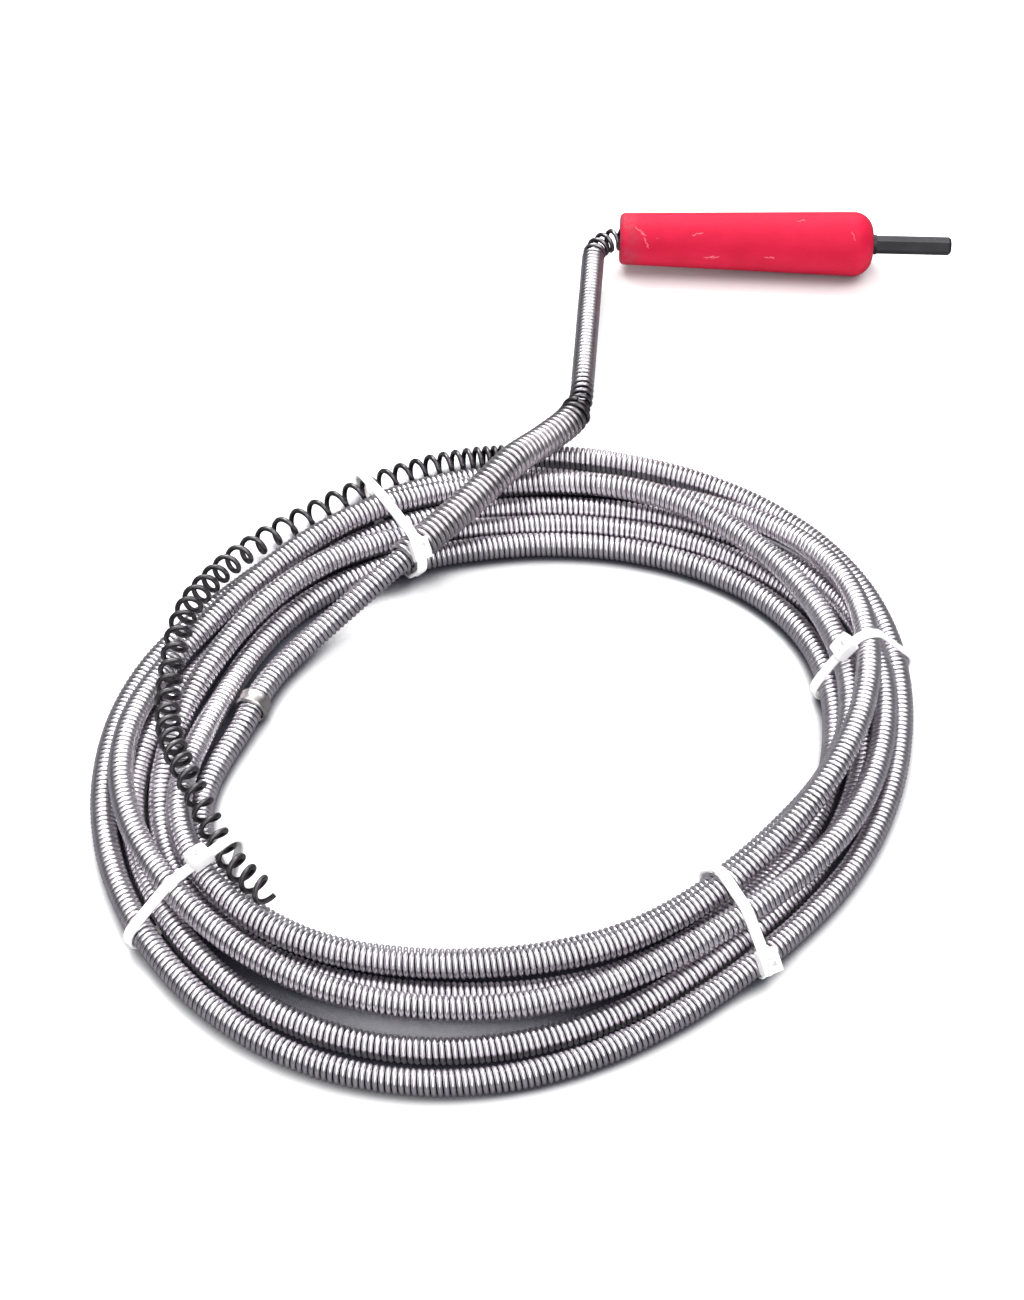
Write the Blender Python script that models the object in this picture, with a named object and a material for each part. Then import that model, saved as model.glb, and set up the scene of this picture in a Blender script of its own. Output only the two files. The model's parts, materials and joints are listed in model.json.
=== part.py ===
"""Drain auger: a spring cable tied up in a flat coil, with a boring head at one end and a drill-driven turning
handle at the other.

Metres, +Z up.  The coil lies on the floor (z = 0); the handle lies behind it (+Y) and runs along +X.  Sizes are in
millimetres about the coil's centre; the whole auger is then set with the middle of its footprint on the origin.
"""

import math

import bmesh
import bpy
import numpy as np
from mathutils import Vector

MM = 0.001
FRAME_SHIFT = (-20.5, -64.0, 0.0)    # from the middle of the footprint to the coil's centre

# ---------------------------------------------------------------- cable, sleeves and head
CABLE_R = 4.5
CABLE_BORE_R = 3.67      # corner radius of the cable's square bore
GUARD_R = 6.1            # guard spring over the lead
GUARD_END_Y = 79.0       # the guard spring covers the lead behind this line
FERRULE_R = 5.9          # room kept for the joint ferrule
FERRULE_TRIM = 0.1       # the ferrule itself is this much smaller
FERRULE_HALF_L = 2.4
FERRULE_AT = (-86.8, 16.3)
FERRULE_REACH = 9.0      # cable this near to the ferrule keeps its clearance
SLEEVE_BORE_R = 5.0      # bore of the guard spring and of the ferrule

HEAD_R = 4.75            # boring head, outside of its windings
HEAD_WIRE_R = 0.85
HEAD_TURNS = 32
HEAD_WIRE_STEPS = 9      # stations per turn of the wire
HEAD_WIRE_SIDES = 4
HEAD_SETBACK = 1.2       # from the first point of the head's path to its wire
TIP_L = 17.0             # free tip of the head
TIP_HALF_GAP = 1.6       # bare length on each side of the tip's pivot

# ---------------------------------------------------------------- cable ties
STRAP_T = 1.2
STRAP_W = 3.8
STRAP_CLEAR = 0.4        # between the cable and the strap
STRAP_STEPS = 176        # directions in which the strap is stretched round the bundle
STRAP_MIN_STEP = 0.65    # shortest piece of strap kept
LOCK_T = 4.4
LOCK_W = 6.6
LOCK_L = 7.0
LOCK_LIFT = math.radians(52)         # the block's direction above the horizontal
MIN_LEAN = 0.6           # limits the slant of a cable that crosses the tie's plane at a shallow angle
TIE_REACH = (-60, 110)   # stretch of the tie's plane searched for cable, from the inner point
# each tie lies in a vertical plane through two points (inner end, outer end) of the bundle
TIES = {
    "tie_top": ((-26.8, 71.9), (-45.5, 114.1)),
    "tie_right": ((112.5, 24.6), (139.2, 35.7)),
    "tie_front": ((70.6, -66.4), (88.4, -103.3)),
    "tie_left": ((-92.6, -60.0), (-117.9, -83.9)),
}

# ---------------------------------------------------------------- riser and handle
LOWER_PIVOT = (30.5, 154.5, 15.2)    # where the riser leaves the lead
UPPER_PIVOT = (38.6, 262.4, 13.2)    # where the cable turns into the handle
LEAD_SETBACK = 5.2                   # from the lower pivot to the lead's end
RISER_SETBACK = 6.9                  # from the riser's far end to the upper pivot
RISER_SPANS = 3

# stations along the handle's axis, from the upper pivot
HANDLE_YAW = math.radians(-2.1)
HANDLE_START = 10.0                  # cable end of the sleeve
HANDLE_L = 102.0
HANDLE_END = HANDLE_START + HANDLE_L
NECK_BEND_X = 12.0
NECK_END = HANDLE_START + 46.0
BARREL_START = HANDLE_START + 28.0
BARREL_END = HANDLE_START + 92.0
SCREW_XS = {"a": BARREL_START + 7.0, "b": BARREL_START + 16.0}
PIN_X = BARREL_END - 22.0

HANDLE_R0 = 10.25                    # at the cable end
HANDLE_R1 = 13.0                     # at the drill end
HANDLE_BORE_R = 7.9
END_HOLE_R = 4.95                    # sleeve's drill end, barrel's cable end and front washer
GAP = 0.3                            # least gap between neighbouring pieces
BUSH_R = HANDLE_BORE_R - GAP
WASHER_R = 7.4
WASHER_GAP = 0.4
STEM_R = 4.0
HEX_AF = 6.35                        # across flats: quarter-inch hexagon
HEX_L = 30.0
HEX_CHAMFER = (1.0, 0.8)             # along the axis, off the corner radius

SCREW_R = 1.95
SCREW_HOLE_R = 2.3
SCREW_Z = (4.95, 7.1)
SCREW_HOLE_Z = (3.5, 9.0)
PIN_R = 1.5
PIN_HOLE_R = 1.8
PIN_Z = (-7.0, 7.0)
PIN_HOLE_Z = (-9.0, 9.0)

# ---------------------------------------------------------------- layout of the coil
FLOOR_Z = CABLE_R + 0.15
LOW, NEST, PILE = FLOOR_Z, 12.9, 21.0    # floor layer, nested second layer, top of the pile
LAPS = 6
COIL_FROM_DEG = 198.0    # azimuth where the lead joins the coil
COIL_STEP_DEG = 9.0
# azimuths past the last full lap
FINE_FROM_DEG = 90.0     # finer steps from here
FINE_STEP_DEG = 4.5
HEAD_FROM_DEG = 94.0
HEAD_TO_DEG = 226.0

# Slots of cable side by side, from 0 (inside); azimuth (degrees): (radius, height) of every slot
SLOTS = {
    195: [(106.5, LOW), (111.5, 12), (118, LOW), (127.5, LOW), (133, NEST), (138, LOW)],
    210: [(112.5, LOW), (117.5, NEST), (122, LOW), (131.3, LOW), (127, NEST), (140.6, LOW)],
    225: [(110, LOW), (115.5, NEST), (120, LOW), (133, LOW), (127, NEST), (143.5, LOW)],
    240: [(102, LOW), (110, 10), (115.5, LOW), (136, LOW), (123.5, 13), (147, LOW)],
    255: [(96, LOW), (103, NEST), (108.5, LOW), (131.5, LOW), (119.5, 11), (143.5, LOW)],
    270: [(92.5, LOW), (99.5, NEST), (105.5, LOW), (127, LOW), (115.5, 11), (139.6, LOW)],
    285: [(91.5, LOW), (100, NEST), (107, LOW), (121.5, LOW), (114.5, NEST), (132, LOW)],
    300: [(93.5, LOW), (100.5, NEST), (107, LOW), (118, LOW), (113, NEST), (127.3, LOW)],
    315: [(94.5, LOW), (100, NEST), (104, LOW), (114, LOW), (112, 14), (123.5, LOW)],
    330: [(101, 8.5), (106, 17), (109, LOW), (118.5, LOW), (121.5, NEST), (129, LOW)],
    345: [(115.5, NEST), (113, 19.5), (110.5, LOW), (120.5, LOW), (126, NEST), (133.4, LOW)],
    360: [(119.5, NEST), (123.5, PILE), (115.5, LOW), (125.5, LOW), (131, NEST), (136.5, LOW)],
}
# past azimuth 0 the slots are numbered afresh: the two inner ones have crossed over the next three
AFTER = {0: 3, 1: 4, 2: 0, 3: 1, 4: 2, 5: 5}
SLOTS_AFTER = {
    15: [(120, LOW), (130, LOW), (135, NEST), (125, NEST), (132.5, 20.5), (141, LOW)],
    30: [(121.5, LOW), (131, LOW), (140.8, LOW), (126.5, NEST), (141.5, 14), (152, LOW)],
    45: [(114, LOW), (123.4, LOW), (132.8, LOW), (125.5, 13.5), (141, 9), (150.7, LOW)],
    60: [(106.5, LOW), (115.8, LOW), (125, LOW), (128, 13.5), (134.3, LOW), (149.5, LOW)],
    75: [(100.5, LOW), (110, LOW), (119.5, LOW), (124, NEST), (129.5, LOW), (146.7, LOW)],
    90: [(94.3, LOW), (104, LOW), (113.5, LOW), (123, LOW), (132.6, LOW), (142.5, LOW)],
    105: [(94, LOW), (103.3, LOW), (112.5, LOW), (118, 10), (126, LOW)],
    120: [(95.5, LOW), (100.5, NEST), (105, LOW), (112.5, NEST), (118, LOW)],
    135: [(96.5, LOW), (101.5, NEST), (107, LOW), (112, NEST), (118, LOW)],
    150: [(96, LOW), (102, NEST), (107.5, LOW), (113.5, NEST), (119, LOW)],
    165: [(98, LOW), (103.5, NEST), (109.5, LOW), (119, LOW), (129, LOW)],
    180: [(102.5, 9), (110.5, LOW), (120, LOW), (126, NEST), (131.3, LOW)],
}
# the boring head leaves the outermost slot and is laid back over the bundle to its inner side:
# (azimuth, radius, height)
HEAD_PATH = [
    (105, 136.0, 5.6), (120, 130.7, 5.6), (135, 128.8, 8.0), (150, 121.5, 15.0), (165, 116.2, 17.8),
    (180, 113.0, 18.5), (195, 109.5, 18.5), (210, 107.6, 14.0), (228, 108.2, 13.2),
]
# the lead, from the lower pivot over the bundle down to the inside of the coil: (x, y, z)
LEAD = [
    (25.0, 148.2, 16.0), (18.1, 140.4, 16.9), (10.0, 130.1, 17.6), (2.3, 120.2, 18.4),
    (-9.6, 105.9, 18.6), (-21.3, 91.8, 18.2), (-32.8, 79.1, 17.0), (-44.3, 68.0, 14.0),
    (-55.7, 57.4, 10.0), (-66.9, 46.0, 7.0), (-77.9, 33.6, 5.2), (-85.1, 19.9, 5.0),
    (-91.1, 7.1, 5.9), (-96.0, -3.3, 5.4), (-99.5, -12.5, LOW), (-101.8, -21.0, LOW),
]
LEAD_POINTS = 2 * len(LEAD) - 1      # centreline points on the lead: one more between each two

# ---------------------------------------------------------------- settling of the laps
SETTLE_ROUNDS = 420
LATE_PART = 0.7          # after this part of the rounds the cable is no longer drawn to its first layout
PAIR_ROUNDS = 15         # neighbours are looked up afresh after this many rounds
PAIR_REACH = 34.0        # segments whose middles are nearer than this are neighbours
PAIR_SKIP = 4            # segments this close along the cable don't push each other
EXTRA_GAP = 0.08
SMOOTHING, LATE_SMOOTHING = 0.25, 0.15
GOAL_PULL = 0.05
PUSHES = 2               # pushes per round
PUSH_PART = 0.55         # part of an overlap made good by one push
OVERSHOOT = 1.6
STRAP_LIFT = STRAP_T + 0.35          # the straps run under the bundle and lift it this much
LIFT_FLAT, LIFT_FADE = 4.0, 22.0     # full lift this far from a tie's plane, then fading over this length

# ---------------------------------------------------------------- materials: base colour, metallic, roughness
MATERIALS = {
    "cable_steel": ((0.62, 0.60, 0.62), 1.0, 0.28),
    "head_steel": ((0.12, 0.115, 0.12), 1.0, 0.35),
    "guard_steel": ((0.52, 0.50, 0.52), 1.0, 0.32),
    "ferrule_steel": ((0.66, 0.64, 0.62), 1.0, 0.3),
    "tie_nylon": ((0.86, 0.86, 0.84), 0.0, 0.45),
    "handle_red": ((0.72, 0.025, 0.055), 0.0, 0.36),
    "bush_nylon": ((0.08, 0.08, 0.085), 0.0, 0.5),
    "barrel_steel": ((0.55, 0.55, 0.56), 1.0, 0.35),
    "screw_steel": ((0.2, 0.2, 0.21), 1.0, 0.4),
    "washer_steel": ((0.7, 0.7, 0.7), 1.0, 0.3),
    "shank_black": ((0.035, 0.035, 0.038), 0.7, 0.38),
}


def make_material(name, colour, metallic, roughness):
    mat = bpy.data.materials.new(name)
    mat.use_nodes = True
    inputs = mat.node_tree.nodes["Principled BSDF"].inputs
    inputs["Base Color"].default_value = (*colour, 1)
    inputs["Metallic"].default_value = metallic
    inputs["Roughness"].default_value = roughness
    mat.diffuse_color = (*colour, 1)


# ---------------------------------------------------------------- centreline of the cable
def smooth_value(knots, x):
    """Value at x of a smooth (Catmull-Rom) curve through knots [(x, vector)]."""
    k = 0
    while k < len(knots) - 2 and knots[k + 1][0] < x:
        k += 1
    x1, p1 = knots[k]
    x2, p2 = knots[k + 1]
    x0, p0 = knots[k - 1] if k > 0 else (2 * x1 - x2, 2 * p1 - p2)
    x3, p3 = knots[k + 2] if k + 2 < len(knots) else (2 * x2 - x1, 2 * p2 - p1)
    t = (x - x1) / (x2 - x1)
    slope1 = (p2 - p0) / (x2 - x0) * (x2 - x1)
    slope2 = (p3 - p1) / (x3 - x1) * (x2 - x1)
    return ((2 * t**3 - 3 * t**2 + 1) * p1 + (t**3 - 2 * t**2 + t) * slope1
            + (3 * t**2 - 2 * t**3) * p2 + (t**3 - t**2) * slope2)


def coil_knots():
    """Knots (azimuth, (radius, height)) of all laps and the head."""
    slot, knots = 0, []
    for lap in range(LAPS):
        for azimuth, row in SLOTS.items():
            knots.append((azimuth + 360.0 * lap, np.array(row[slot])))
        slot = AFTER[slot]
        for azimuth, row in SLOTS_AFTER.items():
            if slot < len(row):
                knots.append((azimuth + 360.0 * (lap + 1), np.array(row[slot])))
        slot += 1
    knots += [(azimuth + 360.0 * LAPS, np.array((r, z))) for azimuth, r, z in HEAD_PATH]
    return knots


def first_layout():
    """Centreline points, each with the outside radius of what lies there, from the lead to the head tip."""
    points, radii = [], []
    lead_knots = [(float(i), np.array(p)) for i, p in enumerate(LEAD)]
    for i in range(LEAD_POINTS):
        point = smooth_value(lead_knots, i / 2)
        points.append(point)
        radii.append(GUARD_R if point[1] > GUARD_END_Y else CABLE_R)

    knots = coil_knots()
    full_laps = 360.0 * LAPS
    azimuth = COIL_FROM_DEG
    while azimuth <= full_laps + HEAD_TO_DEG:
        r, z = smooth_value(knots, azimuth)
        angle = math.radians(azimuth)
        points.append(np.array((r * math.cos(angle), r * math.sin(angle), z)))
        radii.append(HEAD_R if azimuth >= full_laps + HEAD_FROM_DEG else CABLE_R)
        azimuth += COIL_STEP_DEG if azimuth < full_laps + FINE_FROM_DEG else FINE_STEP_DEG

    points = np.round(np.array(points), 6)
    radii = np.array(radii)
    near = np.hypot(points[:, 0] - FERRULE_AT[0], points[:, 1] - FERRULE_AT[1]) < FERRULE_REACH
    near[LEAD_POINTS:] = False
    radii[near] = FERRULE_R
    return points, radii


def closest(start1, span1, start2, span2):
    """Parts (0..1) along each pair of segments where they come closest; arrays of rows."""
    offset = start1 - start2
    dot11 = (span1 * span1).sum(1)
    dot12 = (span1 * span2).sum(1)
    dot1 = (span1 * offset).sum(1)
    dot22 = (span2 * span2).sum(1)
    dot2 = (span2 * offset).sum(1)
    det = dot11 * dot22 - dot12 * dot12
    part1 = np.where(det > 1e-9, (dot12 * dot2 - dot1 * dot22) / np.maximum(det, 1e-9), 0.5)
    part1 = np.clip(part1, 0, 1)
    part2 = np.clip((dot12 * part1 + dot2) / dot22, 0, 1)
    part1 = np.clip((dot12 * part2 - dot1) / dot11, 0, 1)
    return part1, part2


def floor_height(points, radii):
    """Least height of the centreline, raised where it passes over the ties' straps."""
    height = np.where(radii == FERRULE_R, FERRULE_R + 0.1, FLOOR_Z)
    for (inner_x, inner_y), (outer_x, outer_y) in TIES.values():
        run_x, run_y = outer_x - inner_x, outer_y - inner_y
        length = math.hypot(run_x, run_y)
        off = ((points[:, 0] - inner_x) * run_y - (points[:, 1] - inner_y) * run_x) / length
        tie_side = (points[:, 0] * run_x + points[:, 1] * run_y) > 0
        fade = np.clip(1 - (np.abs(off) - LIFT_FLAT) / LIFT_FADE, 0, 1)
        fade = fade * fade * (3 - 2 * fade)
        height = np.maximum(height, FLOOR_Z + np.where(tie_side, fade, 0) * STRAP_LIFT)
    return height


def find_pairs(points, segment_r):
    """Neighbouring segments i and j, and the distance their centrelines need."""
    mid = (points[:-1] + points[1:]) / 2
    dist = ((mid[:, None, :] - mid[None, :, :]) ** 2).sum(2)
    i, j = np.nonzero(dist < PAIR_REACH**2)
    keep = j > i + PAIR_SKIP
    i, j = i[keep], j[keep]
    return i, j, segment_r[i] + segment_r[j] + GAP + EXTRA_GAP


def push_apart(points, pairs):
    """Moves the points of overlapping segments away from each other."""
    i, j, need = pairs
    count = len(points)
    start1, span1 = points[i], points[i + 1] - points[i]
    start2, span2 = points[j], points[j + 1] - points[j]
    part1, part2 = closest(start1, span1, start2, span2)
    between = (start1 + part1[:, None] * span1) - (start2 + part2[:, None] * span2)
    length = np.sqrt((between * between).sum(1))
    short = np.where(length < need, need - length, 0.0)
    push = between / np.maximum(length, 1e-6)[:, None] * (0.5 * PUSH_PART * short)[:, None]
    move = np.zeros_like(points)
    load = np.zeros(count)
    for index, weight, sign in ((i, 1 - part1, 1), (i + 1, part1, 1),
                                (j, 1 - part2, -1), (j + 1, part2, -1)):
        for axis in range(3):
            move[:, axis] += sign * np.bincount(index, weight * push[:, axis], count)
        load += np.bincount(index, weight * (short > 0), count)
    return points + move / np.maximum(load, 1.0)[:, None] * OVERSHOOT


def settle(goal, radii):
    """Lets the laps push each other apart, staying smooth and above the floor."""
    points = goal.copy()
    segment_r = np.maximum(radii[:-1], radii[1:])
    for step in range(SETTLE_ROUNDS):
        if step % PAIR_ROUNDS == 0:
            pairs = find_pairs(points, segment_r)
        late = step > SETTLE_ROUNDS * LATE_PART
        bend = np.zeros_like(points)
        bend[2:-2] = (-points[:-4] + 4 * points[1:-3] - 6 * points[2:-2]
                      + 4 * points[3:-1] - points[4:]) / 16
        points = points + (LATE_SMOOTHING if late else SMOOTHING) * bend
        if not late:
            points = points + GOAL_PULL * (goal - points)
        for _ in range(PUSHES):
            points = push_apart(points, pairs)
            points[:, 2] = np.maximum(points[:, 2], floor_height(points, radii))
        points[0] = goal[0]
    return np.round(points, 5)


# ---------------------------------------------------------------- mesh helpers, in millimetres
def finish(name, bm, mat=None, pivot=(0, 0, 0), parent=None, smooth=True):
    """Makes the object, in metres about its pivot.  A parented piece has its origin on the parent's."""
    bmesh.ops.recalc_face_normals(bm, faces=bm.faces)
    if bm.calc_volume(signed=True) < 0:
        bmesh.ops.reverse_faces(bm, faces=bm.faces)
    for vert in bm.verts:
        vert.co = (vert.co - Vector(pivot)) * MM
    mesh = bpy.data.meshes.new(name)
    bm.to_mesh(mesh)
    bm.free()
    if smooth:
        mesh.shade_smooth()
        mesh.set_sharp_from_angle(angle=math.radians(40))
    obj = bpy.data.objects.new(name, mesh)
    bpy.context.collection.objects.link(obj)
    if mat:
        mesh.materials.append(bpy.data.materials[mat])
    if parent:
        obj.parent = parent
    else:
        obj.location = (Vector(pivot) + Vector(FRAME_SHIFT)) * MM
    return obj


def frames(points):
    """(point, tangent, normal, binormal) at each point, turned as little as possible between points."""
    points = [Vector(p) for p in points]
    tangents = []
    for i in range(len(points)):
        before = points[max(i - 1, 0)]
        after = points[min(i + 1, len(points) - 1)]
        tangents.append((after - before).normalized())
    normal = Vector((0, 0, 1))
    normal = (normal - normal.dot(tangents[0]) * tangents[0]).normalized()
    out = []
    for i, tangent in enumerate(tangents):
        if i:
            normal = tangents[i - 1].rotation_difference(tangent) @ normal
            normal = (normal - normal.dot(tangent) * tangent).normalized()
        out.append((points[i], tangent, normal, tangent.cross(normal)))
    return out


def distances_along(points):
    """Length of the path from its start to each point."""
    lengths = [0.0]
    for i in range(1, len(points)):
        lengths.append(lengths[-1] + (points[i] - points[i - 1]).length)
    return lengths


def frame_ring(bm, frame, r, sides):
    point, _, normal, binormal = frame
    turns = [2 * math.pi * k / sides for k in range(sides)]
    return [bm.verts.new(point + (normal * math.cos(t) + binormal * math.sin(t)) * r) for t in turns]


def axis_ring(bm, x, r, sides):
    """A ring about the X axis."""
    turns = [2 * math.pi * k / sides for k in range(sides)]
    return [bm.verts.new((x, r * math.cos(t), r * math.sin(t))) for t in turns]


def skin(bm, rows, closed=False):
    """Faces between neighbouring rings, and from the last to the first if closed."""
    for i in range(len(rows) if closed else len(rows) - 1):
        row, following = rows[i], rows[(i + 1) % len(rows)]
        for k in range(len(row)):
            m = (k + 1) % len(row)
            bm.faces.new((row[k], row[m], following[m], following[k]))


def join_rings(bm, outer, inner):
    """Flat annulus between an outer ring and an inner ring with a whole fraction of its points."""
    ratio = len(outer) // len(inner)
    for k in range(len(inner)):
        m = (k + 1) % len(inner)
        if ratio == 1:
            bm.faces.new((outer[k], outer[m], inner[m], inner[k]))
            continue
        fan = [outer[(ratio * k + s) % len(outer)]
               for s in range(-(ratio // 2), ratio - ratio // 2 + 1)]
        for s in range(ratio):
            bm.faces.new((fan[s], fan[s + 1], inner[k]))
        bm.faces.new((fan[ratio], inner[m], inner[k]))


def tube(points, r_out, r_in, sides_out=8, sides_in=4, ball_start=False):
    """A hollow tube.  With ball_start the first end is a closed half ball centred on the first point."""
    bm = bmesh.new()
    stations = frames(points)
    outer = [frame_ring(bm, station, r_out, sides_out) for station in stations]
    core = stations
    if ball_start:
        core = stations[1:]
        point, tangent, normal, binormal = stations[0]
        cap = []
        for angle in map(math.radians, (22.5, 45.0, 67.5)):
            centre = point - tangent * r_out * math.cos(angle)
            cap.append(frame_ring(bm, (centre, tangent, normal, binormal),
                                  r_out * math.sin(angle), sides_out))
        tip = bm.verts.new(point - tangent * r_out)
        for k in range(sides_out):
            bm.faces.new((tip, cap[0][(k + 1) % sides_out], cap[0][k]))
        outer = cap + outer
    skin(bm, outer)
    inner = [frame_ring(bm, station, r_in, sides_in) for station in core]
    skin(bm, inner)
    if ball_start:
        bm.faces.new(inner[0])
    else:
        join_rings(bm, outer[0], inner[0])
    join_rings(bm, outer[-1], inner[-1])
    return bm


def lathe(profile, sides=24):
    """Turns a closed profile of (x, r) points about the X axis."""
    bm = bmesh.new()
    skin(bm, [axis_ring(bm, x, r, sides) for x, r in profile], closed=True)
    return bm


def arc(centre_x, centre_r, radius, from_deg, to_deg, steps):
    """Points of an arc in the (x, r) profile plane."""
    angles = [math.radians(from_deg + (to_deg - from_deg) * i / steps) for i in range(steps + 1)]
    return [(centre_x + radius * math.cos(a), centre_r + radius * math.sin(a)) for a in angles]


def head_winding(path, start, stop):
    """The head's coiled wire about path; start..stop is the stretch of it, as parts of its length."""
    stations = frames(path)
    lengths = distances_along(path)
    count = round(HEAD_TURNS * (stop - start) * HEAD_WIRE_STEPS)
    centre = []
    for k in range(count + 1):
        part = start + (stop - start) * k / count
        distance = part * lengths[-1]
        i = 0
        while i < len(path) - 2 and lengths[i + 1] < distance:
            i += 1
        blend = (distance - lengths[i]) / (lengths[i + 1] - lengths[i])
        here, ahead = stations[i], stations[i + 1]
        point = here[0].lerp(ahead[0], blend)
        normal = here[2].lerp(ahead[2], blend).normalized()
        binormal = here[3].lerp(ahead[3], blend).normalized()
        turn = 2 * math.pi * HEAD_TURNS * part
        centre.append(point + (normal * math.cos(turn) + binormal * math.sin(turn))
                      * (HEAD_R - HEAD_WIRE_R))
    bm = bmesh.new()
    rows = [frame_ring(bm, station, HEAD_WIRE_R, HEAD_WIRE_SIDES) for station in frames(centre)]
    skin(bm, rows)
    bm.faces.new(rows[0])
    bm.faces.new(rows[-1])
    return bm


def rod_z(x, z_range, r, sides=12):
    """A solid rod parallel to Z at distance x along the handle."""
    bm = bmesh.new()
    turns = [2 * math.pi * k / sides for k in range(sides)]
    rows = [[bm.verts.new((x + r * math.cos(t), r * math.sin(t), z)) for t in turns] for z in z_range]
    skin(bm, rows)
    bm.faces.new(rows[0])
    bm.faces.new(rows[1])
    return bm


def cut(name, bm, parent, target):
    """Cuts the shape out of target with a hidden helper object."""
    helper = finish(name, bm, parent=parent, smooth=False)
    helper.hide_render = True
    helper.display_type = "WIRE"
    mod = target.modifiers.new(name, "BOOLEAN")
    mod.operation = "DIFFERENCE"
    mod.solver = "EXACT"
    mod.object = helper


# ---------------------------------------------------------------- cable ties
def crossings(points, radii, inner, along_dir, side_dir, shift):
    """Where the cable crosses the tie's plane moved sideways by shift: (along, z, radius, slant)."""
    out = []
    for i in range(len(points) - 1):
        start, end = points[i], points[i + 1]
        off_start, off_end = [(p[0] - inner[0]) * side_dir.x + (p[1] - inner[1]) * side_dir.y - shift
                              for p in (start, end)]
        if (off_start < 0) == (off_end < 0):
            continue
        hit = start + (end - start) * (off_start / (off_start - off_end))
        along = (hit[0] - inner[0]) * along_dir.x + (hit[1] - inner[1]) * along_dir.y
        tie_side = hit[0] * along_dir.x + hit[1] * along_dir.y > 0
        if TIE_REACH[0] < along < TIE_REACH[1] and tie_side:
            tangent = (end - start) / np.linalg.norm(end - start)
            lean = max(abs(tangent[0] * side_dir.x + tangent[1] * side_dir.y), MIN_LEAN)
            slant = ((tangent[0] * along_dir.x + tangent[1] * along_dir.y) / lean, tangent[2] / lean)
            out.append((along, hit[2], max(radii[i], radii[i + 1]), slant))
    return out


def strap_loop(found):
    """Points (along, z, outward direction) of the strap stretched round the crossings."""
    loop = []
    for k in range(STRAP_STEPS):
        angle = 2 * math.pi * k / STRAP_STEPS
        out_x, out_z = math.cos(angle), math.sin(angle)
        best = None
        for along, z, r, (slant_x, slant_z) in found:
            slant = slant_x * out_x + slant_z * out_z
            reach = (r + STRAP_CLEAR) / math.sqrt(1 + slant * slant)
            x_at = along + reach * (out_x + slant_x * slant)
            z_at = z + reach * (out_z + slant_z * slant)
            extent = x_at * out_x + z_at * out_z
            if best is None or extent > best[0]:
                best = (extent, x_at, z_at)
        loop.append((best[1], max(best[2], STRAP_T + 0.02), (out_x, out_z)))

    kept = [loop[0]]
    for point in loop[1:]:
        if math.hypot(point[0] - kept[-1][0], point[1] - kept[-1][1]) > STRAP_MIN_STEP:
            kept.append(point)
    if math.hypot(kept[0][0] - kept[-1][0], kept[0][1] - kept[-1][1]) <= STRAP_MIN_STEP:
        kept.pop()
    return kept


def make_tie(name, points, radii, inner, outer, lock_side):
    """A closed strap round the bundle, with its locking block on the inner (-1) or outer (+1) flank."""
    along_dir = Vector((outer[0] - inner[0], outer[1] - inner[1]))
    along_dir.normalize()
    side_dir = Vector((-along_dir.y, along_dir.x))
    found = []
    for shift in (-STRAP_W / 2, 0.0, STRAP_W / 2):
        found += crossings(points, radii, inner, along_dir, side_dir, shift)
    loop = strap_loop(found)

    # start the loop at the block's middle and measure it once round
    want = (lock_side * math.cos(LOCK_LIFT), math.sin(LOCK_LIFT))
    at = max(range(len(loop)), key=lambda k: loop[k][2][0] * want[0] + loop[k][2][1] * want[1])
    loop = loop[at:] + loop[:at] + [loop[at]]
    lengths = [0.0]
    for here, ahead in zip(loop, loop[1:]):
        lengths.append(lengths[-1] + math.hypot(ahead[0] - here[0], ahead[1] - here[1]))
    total = lengths[-1]

    def at_length(distance):
        distance = distance % total
        k = 0
        while k < len(loop) - 2 and lengths[k + 1] < distance:
            k += 1
        blend = (distance - lengths[k]) / (lengths[k + 1] - lengths[k])
        (x1, z1, out1), (x2, z2, out2) = loop[k], loop[k + 1]
        outward = Vector((out1[0] * (1 - blend) + out2[0] * blend,
                          out1[1] * (1 - blend) + out2[1] * blend)).normalized()
        return x1 * (1 - blend) + x2 * blend, z1 * (1 - blend) + z2 * blend, outward

    # stations (distance, thickness, width), with a steep step at each end of the block
    half = LOCK_L / 2
    step, margin = 0.12, 0.7
    stations = [(s, LOCK_T, LOCK_W) for s in (0.0, half * 0.55, half)]
    stations += [(half + step, STRAP_T, STRAP_W)]
    stations += [(s, STRAP_T, STRAP_W) for s in lengths[1:-1]
                 if half + margin < s < total - half - margin]
    stations += [(total - half - step, STRAP_T, STRAP_W)]
    stations += [(total - s, LOCK_T, LOCK_W) for s in (half, half * 0.55)]

    bm = bmesh.new()
    rows = []
    for distance, thick, width in stations:
        x, z, outward = at_length(distance)
        base = Vector((inner[0] + along_dir.x * x, inner[1] + along_dir.y * x, z))
        out = Vector((along_dir.x * outward.x, along_dir.y * outward.x, outward.y)) * thick
        across = Vector((side_dir.x, side_dir.y, 0)) * (width / 2)
        rows.append([bm.verts.new(base - across), bm.verts.new(base + across),
                     bm.verts.new(base + across + out), bm.verts.new(base - across + out)])
    skin(bm, rows, closed=True)
    finish(name, bm, "tie_nylon", smooth=False)


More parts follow.
